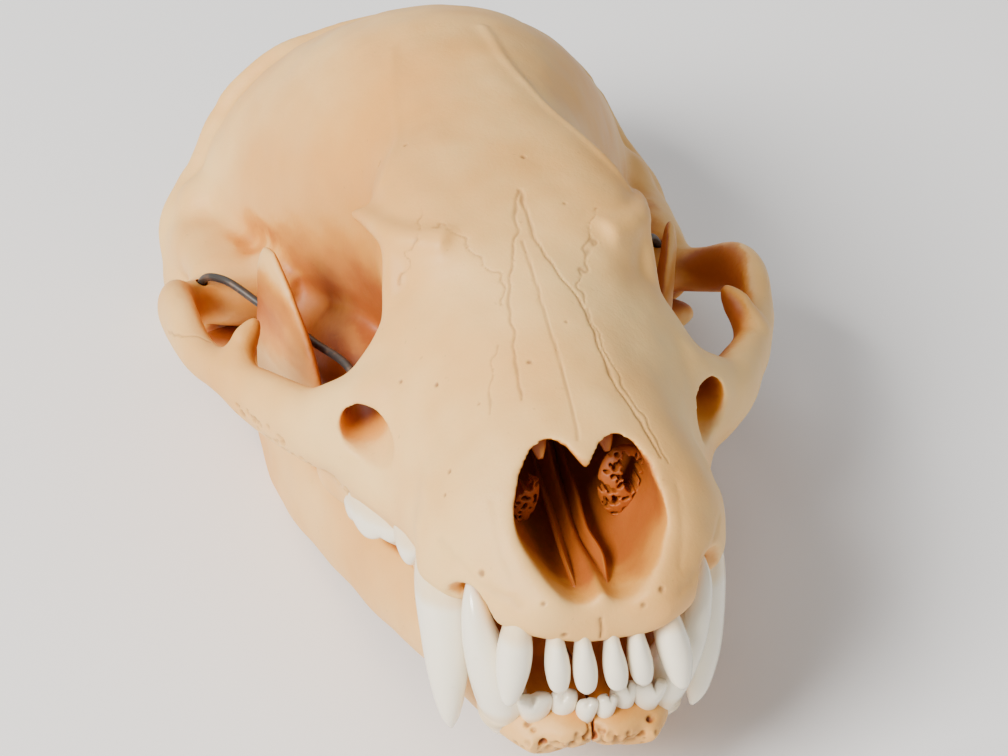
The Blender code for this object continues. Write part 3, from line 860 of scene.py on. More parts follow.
class Dresser:
    """Turns a built mesh into a piece that rides on the part."""

    def __init__(self) -> None:
        """Reads the pose once."""
        self.pose = pose_matrix()

    def dress(
        self,
        obj: bpy.types.Object,
        material: bpy.types.Material,
        node: str | None = None,
    ) -> None:
        """Poses a piece, flattens it where it rests, gives it its finish and joins it to the part.

        Args:
            obj: The piece, in the skull's frame.
            material: Its finish.
            node: The part's node that it stands for, if any.
        """
        obj.data.transform(self.pose)
        points = coordinates(obj.data)
        points[:, 2] = np.maximum(points[:, 2], 0.0)
        obj.data.vertices.foreach_set("co", points.astype(np.float32).ravel())
        obj.data.update()
        obj.data.materials.clear()
        obj.data.materials.append(material)
        obj.data.shade_smooth()
        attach(obj, BODY)
        if node:
            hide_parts(node)
        LOG.info("%s: %d faces", obj.name, len(obj.data.polygons))


LOWER_CROWN = (
    (-0.5, 0.62, 0.80), (0.0, 0.70, 0.90), (0.30, 0.82, 1.0), (0.55, 0.95, 0.98), (0.74, 1.0, 0.86),
    (0.88, 0.94, 0.70), (0.96, 0.76, 0.50), (1.0, 0.36, 0.24),
)


@dataclass
class FrontTooth:
    """An incisor: a crown that swells below its neck and ends in a rounded edge.

    Args:
        base: The middle of its neck.
        tip: The middle of its edge.
        width: Its greatest width.
        depth: Its greatest depth from front to back.
        blunt: Its width at the edge as a part of what its rings give.
        notch: The depth of the notch in its edge.
        rings: For each ring, its place from neck to edge and its width and depth as parts.
        step: The distance between the rings that are made.
        points: The points in a ring.
        squareness: Below 1, how flat its front and back are.
        notch_place: Where the notch is, as a part of the half width outwards.
        notch_width: How wide the notch is, in the same way.
    """

    base: tuple[float, float, float]
    tip: tuple[float, float, float]
    width: float
    depth: float
    blunt: float
    notch: float = 0.0
    rings: Rows = (
        (-0.5, 0.48, 0.70), (-0.1, 0.55, 0.84), (0.06, 0.60, 0.92), (0.20, 0.70, 0.98),
        (0.40, 0.90, 1.0), (0.58, 1.0, 0.96), (0.72, 0.98, 0.80), (0.84, 0.88, 0.62),
        (0.94, 0.66, 0.42), (1.0, 0.30, 0.18),
    )

    step: float = 0.3
    points: int = 28
    squareness: float = 0.85
    notch_place: float = 0.30
    notch_width: float = 0.26

    def skin(self, side: int, grow: float = 0.0) -> Skin:
        """The tooth's closed skin, grown all round."""
        root = np.array(self.base) * (side, 1, 1)
        end = np.array(self.tip) * (side, 1, 1)
        table = []
        for t, wide, deep in self.rings:
            point = root + t * (end - root)
            blunt = 1 - (1 - self.blunt) * max(0.0, t - 0.3) / 0.7
            table.append((*point, wide * blunt * self.width / 2, deep * self.depth / 2))
        rows = smooth_rows(table, self.step)
        angle = turns(self.points)
        rings = []
        for k, (x, y, z, wide, deep) in enumerate(rows):
            front = np.sin(angle)
            square = np.sign(front) * np.abs(front) ** self.squareness
            dip = self.notch * ease(0.6, 1.0, np.full(self.points, k / (len(rows) - 1)))
            across = np.cos(angle)
            valley = np.exp(-(((across * side - self.notch_place) / self.notch_width) ** 2))
            drop = dip * valley * np.sign(root[2] - end[2])
            ring = [x + (wide + grow) * across, y + (deep + grow) * square, z + drop]
            rings.append(np.column_stack(ring))
        return skin_of(rings)


@dataclass
class CheekTooth:
    """A premolar or molar whose crown rises to named cusps.

    Args:
        place: The centre in x and y.
        size: Its length and width.
        turn: How far it is turned, in degrees.
        cusps: For each cusp, its place along and across from -1 to 1, its height and radius.
        gum: The level that it grows from.
        down: -1 for an upper tooth and 1 for a lower one.
        points: The points in a ring.
        root: The depth of its root.
        cusp_share: How much of the cusps' height shows.
        crown: The height of its walls without the cusps.
        foot: The height at which the crown starts.
    """

    place: tuple[float, float]
    size: tuple[float, float]
    turn: float
    cusps: Rows
    gum: float
    down: int
    points: int = 40
    root: float = 3.0
    cusp_share: float = 0.85
    crown: float = 0.9
    foot: float = 0.25

    def skin(self, side: int, grow: float = 0.0) -> Skin:
        """The tooth's closed skin, grown all round."""
        angle = turns(self.points)
        turned = math.radians(self.turn) * side
        wider = 1 + 2 * grow / self.size[1]
        rings = []
        for part in (-1.0, -0.6, -0.3, 0.0):
            reach = wider * (0.86 + 0.14 * (1 + part))
            rings.append(self._ring(angle, reach, part * self.root, side, turned))
        for reach in np.cos(np.linspace(0.12, math.pi / 2 - 0.03, 16)):
            ring = self._ring(angle, reach, None, side, turned)
            ring[:, :2] += (ring[:, :2] - ring[:, :2].mean(axis=0)) * (wider - 1)
            ring[:, 2] += self.down * grow
            rings.append(ring)
        return skin_of(rings)

    def _ring(
        self, angle: np.ndarray, reach: float, depth: float | None, side: int, turned: float
    ) -> np.ndarray:
        """One ring of the crown.

        Args:
            angle: The angles round it.
            reach: Its size as a part of the tooth's outline.
            depth: Its depth below the gum, or None on the chewing face.
            side: The side of the skull.
            turned: The turn in radians.

        Returns:
            The ring's points.
        """
        u = reach * np.cos(angle)
        v = reach * np.sin(angle)
        if depth is None:
            rise = np.zeros(len(angle))
            for along, across, height, radius in self.cusps:
                gap = (v - along) ** 2 * (self.size[0] / 2) ** 2
                gap += (u - across) ** 2 * (self.size[1] / 2) ** 2
                rise = np.maximum(rise, height * np.exp(-gap / radius**2))
            wall = (1 - reach**6) ** 0.5
            rise = wall * (rise * self.cusp_share + self.crown) + self.foot
        else:
            rise = np.full(len(angle), depth)
        across = side * u * self.size[1] / 2
        along = v * self.size[0] / 2
        x = side * self.place[0] + across * math.cos(turned) + along * math.sin(turned)
        y = self.place[1] - across * math.sin(turned) + along * math.cos(turned)
        return np.column_stack([x, y, self.gum + self.down * rise])


def sheet(grid: np.ndarray, thickness: float) -> Skin:
    """A thin closed skin on both sides of a grid of points."""
    normal = np.cross(np.gradient(grid, axis=0), np.gradient(grid, axis=1))
    normal *= thickness / 2 / np.linalg.norm(normal, axis=2, keepdims=True)
    over = grid + normal
    under = (grid - normal)[:, ::-1]
    return skin_of(np.concatenate([over, under], axis=1))


@dataclass
class Teeth:
    """All the teeth, each side's as the two sides differ.

    Args:
        upper_front: The upper incisors with a place of their own on each side.
        lower_front: The lower incisors, likewise.
        upper_canine: The upper canine's stations.
        lower_canine: The lower canine's stations, for each side.
        upper_cheek: The upper premolars and molar.
        lower_cheek: The lower premolars and molars.
        bite_gap: The gap that the lower cheek teeth keep to the upper teeth.
        upper_gum: The level where the upper teeth leave the bone.
        cheek_gum: The level where the lower cheek teeth leave it.
        front_gum: The level where the lower front teeth leave it.
        neck_length: How far the yellow of the neck reaches.
    """

    upper_front: dict[Side, tuple[FrontTooth, ...]] = field(
        default_factory=lambda: {
            Side.RIGHT: (
                FrontTooth((2.0, 1.6, -0.2), (1.5, 0.5, -7.2), 2.9, 3.5, 0.96),
                FrontTooth((5.1, 2.2, 0.3), (4.6, 1.2, -7.2), 3.0, 3.9, 0.92),
                FrontTooth((9.0, 4.0, 2.0), (10.3, 2.1, -8.8), 4.8, 5.2, 0.55),
            ),
            Side.LEFT: (
                FrontTooth((1.4, 1.6, -0.5), (2.2, 0.5, -7.2), 2.9, 3.5, 0.96),
                FrontTooth((4.4, 2.2, -0.1), (5.4, 1.2, -7.2), 3.0, 3.9, 0.92),
                FrontTooth((8.4, 4.0, 1.2), (10.3, 2.1, -8.7), 4.8, 5.2, 0.55),
            ),
        }
    )
    lower_front: dict[Side, tuple[FrontTooth, ...]] = field(
        default_factory=lambda: {
            Side.RIGHT: (
                FrontTooth((0.9, 4.8, -14.2), (0.5, 3.0, -9.6), 2.5, 2.8, 1.0, 0.5, LOWER_CROWN),
                FrontTooth((3.2, 5.9, -14.0), (3.1, 4.4, -9.0), 3.3, 3.3, 1.0, 0.9, LOWER_CROWN),
                FrontTooth((6.3, 6.4, -13.6), (6.7, 4.2, -9.0), 4.3, 3.7, 1.0, 1.2, LOWER_CROWN),
            ),
            Side.LEFT: (
                FrontTooth((1.5, 4.9, -14.2), (1.8, 3.2, -9.4), 2.5, 2.8, 1.0, 0.5, LOWER_CROWN),
                FrontTooth((3.9, 5.9, -13.8), (4.2, 4.5, -8.6), 3.2, 3.3, 1.0, 0.9, LOWER_CROWN),
                FrontTooth((6.9, 6.4, -13.4), (7.2, 4.2, -8.5), 4.2, 3.7, 1.0, 1.2, LOWER_CROWN),
            ),
        }
    )
    upper_canine: Rows = (
        (14.2, 20.0, 7.0, 3.0, 3.6), (14.9, 16.0, 0.5, 3.8, 4.6), (15.2, 13.6, -5.0, 3.2, 3.9),
        (15.3, 12.2, -11.0, 2.2, 2.7), (15.0, 12.2, -15.6, 1.1, 1.4),
        (14.8, 12.6, -17.4, 0.35, 0.45),
    )
    lower_canine: dict[Side, Rows] = field(
        default_factory=lambda: {
            Side.RIGHT: (
                (8.0, 13.0, -16.0, 2.6, 3.4),
                (9.6, 9.0, -11.5, 3.0, 4.0),
                (11.4, 7.6, -6.6, 2.7, 3.4),
                (12.8, 7.8, -1.6, 2.0, 2.5),
                (13.4, 8.8, 2.2, 1.1, 1.4),
                (13.6, 9.6, 3.9, 0.35, 0.45),
            ),
            Side.LEFT: (
                (8.0, 13.0, -16.0, 2.6, 3.4),
                (9.6, 9.0, -11.5, 3.0, 4.0),
                (11.4, 7.6, -6.6, 2.7, 3.4),
                (13.0, 7.8, -1.6, 2.0, 2.5),
                (13.9, 8.8, 2.6, 1.1, 1.4),
                (14.1, 9.6, 4.4, 0.35, 0.45),
            ),
        }
    )
    upper_cheek: tuple[CheekTooth, ...] = (
        CheekTooth(
            (15.6, 22.6), (4.2, 2.8), 12, ((-0.1, 0, 2.6, 1.6), (0.7, 0, 1.0, 1.2)), 0.6, -1,
        ),
        CheekTooth(
            (17.0, 27.6), (6.0, 3.2), 18, ((-0.1, 0, 3.4, 2.0), (0.7, 0, 1.6, 1.6)), 0.6, -1,
        ),
        CheekTooth(
            (19.4, 36.4), (12.8, 5.2), 24,
            ((0.0, 0.5, 4.0, 4.4), (0.7, 0.5, 3.7, 3.4), (-0.7, 0.4, 3.2, 3.0), (-0.5, -1, 2.4, 2)),
            0.6, -1,
        ),
        CheekTooth(
            (17.4, 48.0), (9.0, 10.6), 14,
            ((-0.5, 0.8, 3.2, 3.0), (0.5, 0.75, 3.0, 3.0), (-0.2, -0.2, 2.6, 2.2), (0, -0.9, 2, 3)),
            0.6, -1,
        ),
    )
    lower_cheek: tuple[CheekTooth, ...] = (
        CheekTooth((10.0, 19.6), (3.8, 2.4), 18, ((-0.1, 0, 2.2, 1.4),), -6.6, 1),
        CheekTooth(
            (11.6, 24.6), (5.4, 2.8), 18, ((-0.1, 0, 3.4, 1.8), (0.7, 0, 1.4, 1.5)), -6.6, 1,
        ),
        CheekTooth((13.6, 31.4), (7.2, 3.4), 18, ((-0.1, 0, 4.4, 2.2), (0.7, 0, 2.2, 2)), -6.6, 1),
        CheekTooth(
            (16.6, 42.6), (13.4, 4.6), 16,
            ((-0.65, 0, 4.2, 2.4), (-0.1, 0.3, 5.4, 2.4), (0.0, -0.7, 4, 1.6), (0.65, 0, 2.2, 3.4)),
            -6.6, 1,
        ),
        CheekTooth((19.8, 53.0), (4.4, 4.2), 16, ((0, 0, 1.2, 2.4),), -6.6, 1),
    )

    bite_gap: float = 0.25
    upper_gum: float = 0.6
    cheek_gum: float = -6.6
    front_gum: float = -13.4
    neck_length: float = 3.4

    def upper(self, side: Side, grow: float = 0.0) -> dict[str, Skin]:
        """The upper teeth of one side by name, each grown all round."""
        named = {}
        for k, tooth in enumerate(self.upper_front[side], 1):
            named[f"upper_incisor_{k}"] = tooth.skin(side.value, grow)
        named["upper_canine"] = bar(self.upper_canine, side.value, 28, 0.45, grow)
        names = ("premolar_2", "premolar_3", "premolar_4", "molar_1")
        for name, tooth in zip(names, self.upper_cheek):
            named[f"upper_{name}"] = tooth.skin(side.value, grow)
        return named

    def lower(self, side: Side) -> dict[str, Skin]:
        """The lower teeth of one side by name."""
        named = {}
        for k, tooth in enumerate(self.lower_front[side], 1):
            named[f"lower_incisor_{k}"] = tooth.skin(side.value, 0.0)
        named["lower_canine"] = bar(self.lower_canine[side], side.value, 28, 0.45)
        names = ("premolar_2", "premolar_3", "premolar_4", "molar_1", "molar_2")
        for name, tooth in zip(names, self.lower_cheek):
            named[f"lower_{name}"] = tooth.skin(side.value, 0.0)
        return named

    def make(self, side: Side, dresser: Dresser, material: bpy.types.Material) -> None:
        """Makes all the teeth of one side as pieces of their own."""
        end = side.name.lower()
        clear = list(self.upper(side, self.bite_gap).values())
        for name, skin in self.upper(side).items():
            obj = mesh_object(f"{name}_{end}", skin)
            self._finish(obj, self.upper_gum, -1)
            dresser.dress(obj, material)
        for name, skin in self.lower(side).items():
            tooth = Solid(f"{name}_{end}", skin)
            in_front = "incisor" in name or "canine" in name
            if not in_front:
                tooth.cut(clear)
                tooth.largest()
            self._finish(tooth.obj, self.front_gum if in_front else self.cheek_gum, 1)
            dresser.dress(tooth.obj, material)

    def _finish(self, obj: bpy.types.Object, gum: float, down: int) -> None:
        """Stores how near each vertex is to the tooth's neck."""
        height = (coordinates(obj.data)[:, 2] - gum) * down
        layer = obj.data.attributes.new("neck", "FLOAT", "POINT")
        near = 1 - ease(0.0, self.neck_length, height)
        layer.data.foreach_set("value", near.astype(np.float32))


@dataclass
class JawWires:
    """The two bent wires that hold the jaw on."""

    radius: float = 0.55
    room: float = 0.3
    right: Rows = (
        (-33.4, 90.8, 4.2), (-33.8, 88.8, 7.2), (-33.2, 85.2, 10.2), (-31.4, 82.0, 11.0),
        (-27.5, 78.0, 9.2), (-21.8, 70.0, 7.0), (-17.8, 61.0, 5.6), (-17.4, 58.0, -0.6),
        (-18.6, 57.4, -5.6), (-21.2, 57.2, -8.4),
    )
    left: Rows = (
        (30.4, 90.8, 5.0), (29.8, 89.4, 8.4), (27.6, 86.4, 11.2), (24.6, 82.6, 10.4),
        (22.4, 76.4, 8.0), (19.6, 68.0, 6.4), (17.6, 60.0, 3.4), (17.6, 58.0, -1.0),
        (18.8, 57.4, -5.6), (21.2, 57.2, -8.4),
    )

    def skins(self, grow: float = 0.0, step: float = 0.5) -> dict[str, Skin]:
        """Both wires by name, grown all round."""
        named = {}
        for name, points in (("jaw_wire_right", self.right), ("jaw_wire_left", self.left)):
            rows = [(*point, self.radius, self.radius) for point in points]
            named[name] = bar(rows, 1, 18, step, grow)
        return named

    def make(self, dresser: Dresser, material: bpy.types.Material) -> None:
        """Makes the wires."""
        for name, skin in self.skins().items():
            dresser.dress(mesh_object(f"{name}_bent", skin), material, name)


@dataclass
class Bone:
    """What the bones share: how their colour and fine relief are laid on.

    Args:
        lines: Grooves and ridges.
        spots: Pits and bumps.
        warmth: Warm patches, each a centre, a radius and an amount.
        paler_shade: Hollows whose painted shade is made paler, given in the same way.
        base_warmth: How warm the rest is.
        swell: How far the surface swells and sinks.
        swell_wave: Over what length it does so.
        dimple: The same for its finer dimples.
        dimple_wave: Their length.
        fine_margin: How far round a line or spot the faces are made finer.
    """

    lines: tuple[Line, ...] = ()
    spots: tuple[Spot, ...] = ()
    warmth: Rows = ()
    paler_shade: Rows = ()
    base_warmth: float = 0.3
    swell: float = 0.08
    swell_wave: float = 9.0
    dimple: float = 0.0176
    dimple_wave: float = 3.6
    fine_margin: float = 0.5

    def carve(self, obj: bpy.types.Object) -> None:
        """Lays the relief on the bone and stores its colours."""
        relief = Relief(obj)
        relief.refine(self.lines, self.spots, self.fine_margin)
        for line in self.lines:
            relief.draw(line)
        for spot in self.spots:
            relief.dot(spot)
        relief.push += self.swell * ripple(relief.points, self.swell_wave, SEED)
        relief.push += self.dimple * ripple(relief.points, self.dimple_wave, SEED + 1)
        relief.finish()
        zone = np.full(len(relief.points), self.base_warmth)
        for x, y, z, radius, amount in self.warmth:
            gap = np.linalg.norm(relief.points - (x, y, z), axis=1)
            zone += amount * np.exp(-((gap / radius) ** 2))
        relief.write("zone", np.clip(zone, 0, 1))
        # Stores the darkening of grooves and pits: dark joints and dirt, with painted shade in the
        # pits.
        relief.write("dirt", np.clip(relief.dirt, 0, 1))


def store_shade_mask(
    obj: bpy.types.Object, others: Sequence[bpy.types.Object], paler_shade: Rows = ()
) -> None:
    """Stores how closed in each vertex is, the mask of the painted shade in hollows.

    Args:
        obj: The mesh that is read and that stores it.
        others: The meshes that can close it in.
        paler_shade: Where the painted shade is made paler, each a centre, a radius and an amount.
    """
    closed = closeness(obj, others)
    # Makes the painted shade paler round the given centres.
    for x, y, z, radius, amount in paler_shade:
        gap = np.linalg.norm(coordinates(obj.data) - (x, y, z), axis=1)
        closed *= 1 - amount * np.exp(-((gap / radius) ** 2))
    layer = obj.data.attributes.new("closed", "FLOAT", "POINT")
    layer.data.foreach_set("value", closed.astype(np.float32))


@dataclass
class Cranium(Bone):
    """The upper skull, one bone. Its stations are those of the part.

    A table is the stations of a bar or of the skull's cross sections, and a ball is a swelling
    or a hollow. The fields that end in rounds say how much the creases are rounded at each stage.
    """

    face: Rows = (
        (0.0, 8.0, 2.6, 6.2, -0.8, 2.4, 2.4), (3.0, 11.6, 3.0, 9.2, -1.0, 2.2, 2.6),
        (8.0, 15.6, 3.4, 15.0, -0.6, 2.1, 3.0), (14.0, 18.2, 3.6, 20.6, -0.4, 2.0, 3.4),
        (20.0, 18.0, 3.8, 23.4, -0.2, 2.0, 3.6), (27.0, 19.3, 4.2, 26.4, -0.2, 1.9, 3.8),
        (34.0, 22.4, 4.6, 29.4, -0.2, 1.8, 4.0), (42.0, 25.0, 5.2, 32.8, -0.2, 1.7, 4.0),
        (50.0, 23.0, 5.4, 35.0, 0.4, 1.7, 3.4),
    )
    vault: Rows = (
        (36.0, 9.5, 24.0, 29.6, 12.0, 2.0, 2.0), (45.0, 14.8, 28.4, 34.2, 4.0, 2.2, 1.6),
        (52.0, 16.4, 28.8, 36.6, 1.0, 2.3, 1.5), (60.0, 16.4, 28.7, 38.8, 0.5, 2.3, 1.7),
        (67.0, 14.6, 28.0, 40.6, 0.5, 2.1, 2.1), (74.0, 16.2, 25.0, 42.2, 0.6, 2.0, 2.4),
        (82.0, 20.4, 21.0, 43.4, 0.8, 2.0, 2.6), (90.0, 23.8, 17.0, 43.6, 1.4, 2.0, 2.6),
        (98.0, 26.6, 13.5, 42.0, 3.0, 2.0, 2.5), (106.0, 29.6, 9.0, 39.2, 3.0, 2.0, 2.6),
        (112.0, 31.2, 7.0, 36.6, 3.0, 2.0, 2.6), (118.0, 29.4, 7.0, 33.4, 3.6, 2.0, 2.6),
        (122.0, 23.0, 9.0, 29.0, 5.5, 2.0, 2.4),
    )
    arch: Rows = (
        (19.0, 37.0, 8.0, 4.4, 6.2), (25.5, 42.5, 8.2, 3.8, 5.0), (31.0, 51.0, 8.4, 2.8, 4.0),
        (34.8, 59.0, 8.8, 2.4, 3.0), (37.0, 66.0, 8.2, 2.3, 2.9), (38.3, 73.5, 9.4, 2.4, 3.9),
        (38.2, 79.5, 8.8, 2.5, 3.8), (35.8, 86.0, 6.0, 2.8, 3.2), (31.0, 89.8, 5.0, 4.6, 3.0),
        (22.0, 92.0, 7.0, 6.0, 4.4),
    )
    cheek_root: Rows = (
        (15.5, 36.0, 13.0, 5.0, 7.4), (20.5, 38.6, 10.4, 4.6, 6.2), (25.6, 43.6, 8.2, 4.0, 5.2),
        (30.6, 50.6, 8.0, 3.0, 4.2), (34.0, 57.4, 8.2, 2.4, 3.2),
    )
    jugal_spur: Rows = (
        (34.2, 57.0, 9.2, 2.6, 4.4), (32.3, 58.7, 12.9, 1.8, 2.4), (30.3, 60.2, 15.4, 0.9, 0.9),
    )
    brow: Rows = (
        (9.0, 43.5, 31.0, 3.0, 2.4), (15.0, 48.6, 30.4, 2.2, 1.8), (16.2, 53.5, 30.2, 2.0, 1.5),
        (17.3, 58.0, 29.4, 1.5, 1.2), (18.6, 60.0, 28.8, 0.8, 0.7),
    )
    tear_rim: Rows = (
        (14.8, 48.4, 29.4, 2.2, 2.2), (15.0, 46.4, 26.5, 2.2, 2.2), (15.2, 44.6, 23.0, 2.3, 2.4),
        (15.6, 42.8, 20.0, 2.4, 2.6), (17.0, 41.0, 17.0, 2.6, 3.0),
    )
    ear_shelf: Rows = (
        (30.0, 90.0, 7.0, 5.0, 3.2), (29.5, 97.0, 7.0, 5.6, 4.0), (31.0, 104.0, 6.0, 5.0, 4.6),
        (33.0, 110.0, 4.6, 3.6, 4.2),
    )
    neck_crest: Rows = (
        (34.0, 106.0, 2.0, 2.6, 3.0), (34.4, 112.0, 7.0, 2.0, 2.2), (30.4, 116.0, 13.2, 1.7, 1.9),
        (26.6, 117.6, 20.6, 1.6, 1.8), (19.4, 119.0, 27.4, 1.6, 1.8), (10.0, 120.4, 30.2, 1.6, 1.8),
        (-0.5, 121.0, 31.6, 1.6, 2.0),
    )
    canine_jugum: Rows = (
        (15.2, 14.5, 1.5, 3.6, 3.8), (15.4, 18.0, 8.0, 3.2, 3.6), (12.4, 23.5, 15.0, 2.0, 2.4),
    )
    alveolar_edge: Rows = (
        (15.6, 27.0, 0.8, 1.4, 2.0), (18.2, 34.0, 0.4, 1.8, 2.7), (21.2, 40.0, 0.1, 1.9, 2.9),
        (23.4, 46.0, 0.1, 1.8, 2.7), (23.0, 53.0, 1.6, 1.8, 2.2),
    )
    pterygoid: Rows = (
        (8.0, 50.0, 5.0, 2.4, 5.0), (7.6, 60.0, 2.6, 1.5, 4.4), (7.6, 70.0, 2.0, 1.1, 4.6),
        (8.0, 78.0, 0.6, 0.9, 3.6), (8.4, 82.0, -2.4, 0.8, 1.4),
    )
    jugular_spur: Rows = (
        (24.0, 110.0, 3.0, 3.2, 3.2), (24.6, 112.6, -2.0, 2.2, 2.6), (24.8, 113.6, -6.0, 1.0, 1.2),
    )
    cheek_tooth_bed: Ball = ((17.0, 46.5, 4.3), (8.2, 13.5, 5.4))
    ear_capsule: Ball = ((16.2, 95.0, 1.4), (8.8, 13.0, 8.8))
    mastoid: Ball = ((32.6, 106.5, 1.4), (4.2, 6.2, 6.6))
    neck_corner: Ball = ((30.4, 110.4, 7.4), (4.4, 5.2, 6.8))
    skull_wing: Ball = ((14.0, 79.0, 0.5), (7.0, 11.0, 6.5))
    condyle: Ball = ((9.2, 120.6, 6.4), (5.6, 5.4, 6.2))
    hinge_stop: Ball = ((28.0, 93.0, 2.0), (8.0, 2.2, 5.4))
    hinge_roof: Ball = ((27.6, 89.6, 5.2), (9.0, 5.0, 4.0))
    skull_base: Ball = ((0.0, 100.0, 6.0), (13.0, 24.0, 5.0))
    palate_end: Ball = ((0.0, 52.0, 3.4), (10.0, 11.0, 2.4))
    orbit: Ball = ((25.4, 57.0, 21.6), (13.0, 17.0, 13.6))
    palate: Ball = ((0.0, 36.0, -3.4), (10.4, 27.0, 6.2))
    throat: Ball = ((0.0, 74.0, -2.0), (6.0, 16.0, 8.0))
    spine_hole: Ball = ((0.0, 126.0, 13.0), (7.8, 13.0, 6.6))
    nose_cut: Rows = (
        (-6.0, 3.5, 4.8, 10.4, 5.6), (3.0, 3.5, 5.0, 10.4, 6.2), (8.0, 3.6, 5.1, 10.8, 6.8),
        (14.0, 3.7, 5.1, 11.4, 7.9), (22.0, 3.8, 4.8, 12.4, 8.0), (32.0, 4.0, 3.8, 14.0, 7.0),
        (40.0, 4.0, 2.2, 15.0, 4.0),
    )
    nose_floor_shift: float = 1.0
    nose_floor_narrow: float = 0.3
    cheek_hole: Rows = (
        (23.6, 25.0, 10.2, 3.3, 3.2), (21.8, 32.0, 11.3, 3.6, 3.4), (20.8, 39.0, 12.2, 2.3, 2.4),
        (20.2, 50.0, 14.6, 1.8, 2.0),
    )
    canine_notch: dict[Side, Ball] = field(
        default_factory=lambda: {
            Side.RIGHT: ((15.8, 6.0, -1.0), (4.6, 5.0, 6.2)),
            Side.LEFT: ((15.9, 6.0, 0.2), (4.7, 5.2, 7.0)),
        }
    )
    jaw_room: float = 0.6
    bulk_rounds: float = 12
    hollow_rounds: float = 4
    hole_rounds: float = 2
    lobe_points: int = 40

    def build(self, teeth: Teeth, jaw_head: Ball, wires: JawWires) -> bpy.types.Object:
        """Builds the bone.

        Args:
            teeth: The teeth, whose lower canines need room in it.
            jaw_head: The head of the jaw, which needs room too.
            wires: The wires that it is bored for.

        Returns:
            The bone, in the skull's frame.
        """
        solid = Solid("cranium_bone", skin_of(skull_rings(self.vault)))
        bulk = [skin_of(skull_rings(self.face)), ball(self.skull_base)]
        hollows = [ball(self.palate), ball(self.throat), ball(self.spine_hole)]
        bars = [ball(self.palate_end)]
        room = []
        for side in Side:
            turn = side.value
            for rows in (self.cheek_root, self.canine_jugum, self.ear_shelf, self.alveolar_edge):
                bulk.append(bar(rows, turn))
            bulk += [ball(b, turn) for b in (self.cheek_tooth_bed, self.mastoid, self.ear_capsule)]
            bulk += [ball(self.neck_corner, turn), ball(self.skull_wing, turn)]
            hollows += [ball(self.orbit, turn), self.nose_lobe(turn)]
            for rows in (self.arch, self.jugal_spur, self.brow, self.tear_rim, self.neck_crest):
                bars.append(bar(rows, turn))
            bars += [bar(rows, turn) for rows in (self.pterygoid, self.jugular_spur)]
            bars += [ball(b, turn) for b in (self.condyle, self.hinge_roof, self.hinge_stop)]
            room.append(ball(jaw_head, turn, self.jaw_room))
            room.append(bar(teeth.lower_canine[side], turn, 24, 0.6, self.jaw_room))
        holes = [bar(self.cheek_hole, side.value) for side in Side]
        holes += [ball(self.canine_notch[side], side.value) for side in Side]
        solid.join(bulk)
        solid.soften(self.bulk_rounds)
        solid.cut(hollows)
        solid.join(bars)
        solid.soften(self.hollow_rounds)
        solid.cut(holes + room)
        solid.soften(self.hole_rounds)
        solid.largest()
        self.carve(solid.obj)
        solid.cut(room + list(wires.skins(wires.room).values()))
        solid.largest()
        return solid.obj

    def nose_lobe(self, side: int) -> Skin:
        """The hollow of one side of the nose, open at the front."""
        angle = turns(self.lobe_points)
        rings = []
        low = np.maximum(0.0, -np.sin(angle))
        for y, x, half, z, tall in smooth_rows(self.nose_cut, 1.5):
            wide = half * (1 - self.nose_floor_narrow * low)
            across = side * (x - self.nose_floor_shift * low) + wide * np.cos(angle)
            level = np.full(self.lobe_points, y)
            rings.append(np.column_stack([across, level, z + tall * np.sin(angle)]))
        return skin_of(rings)


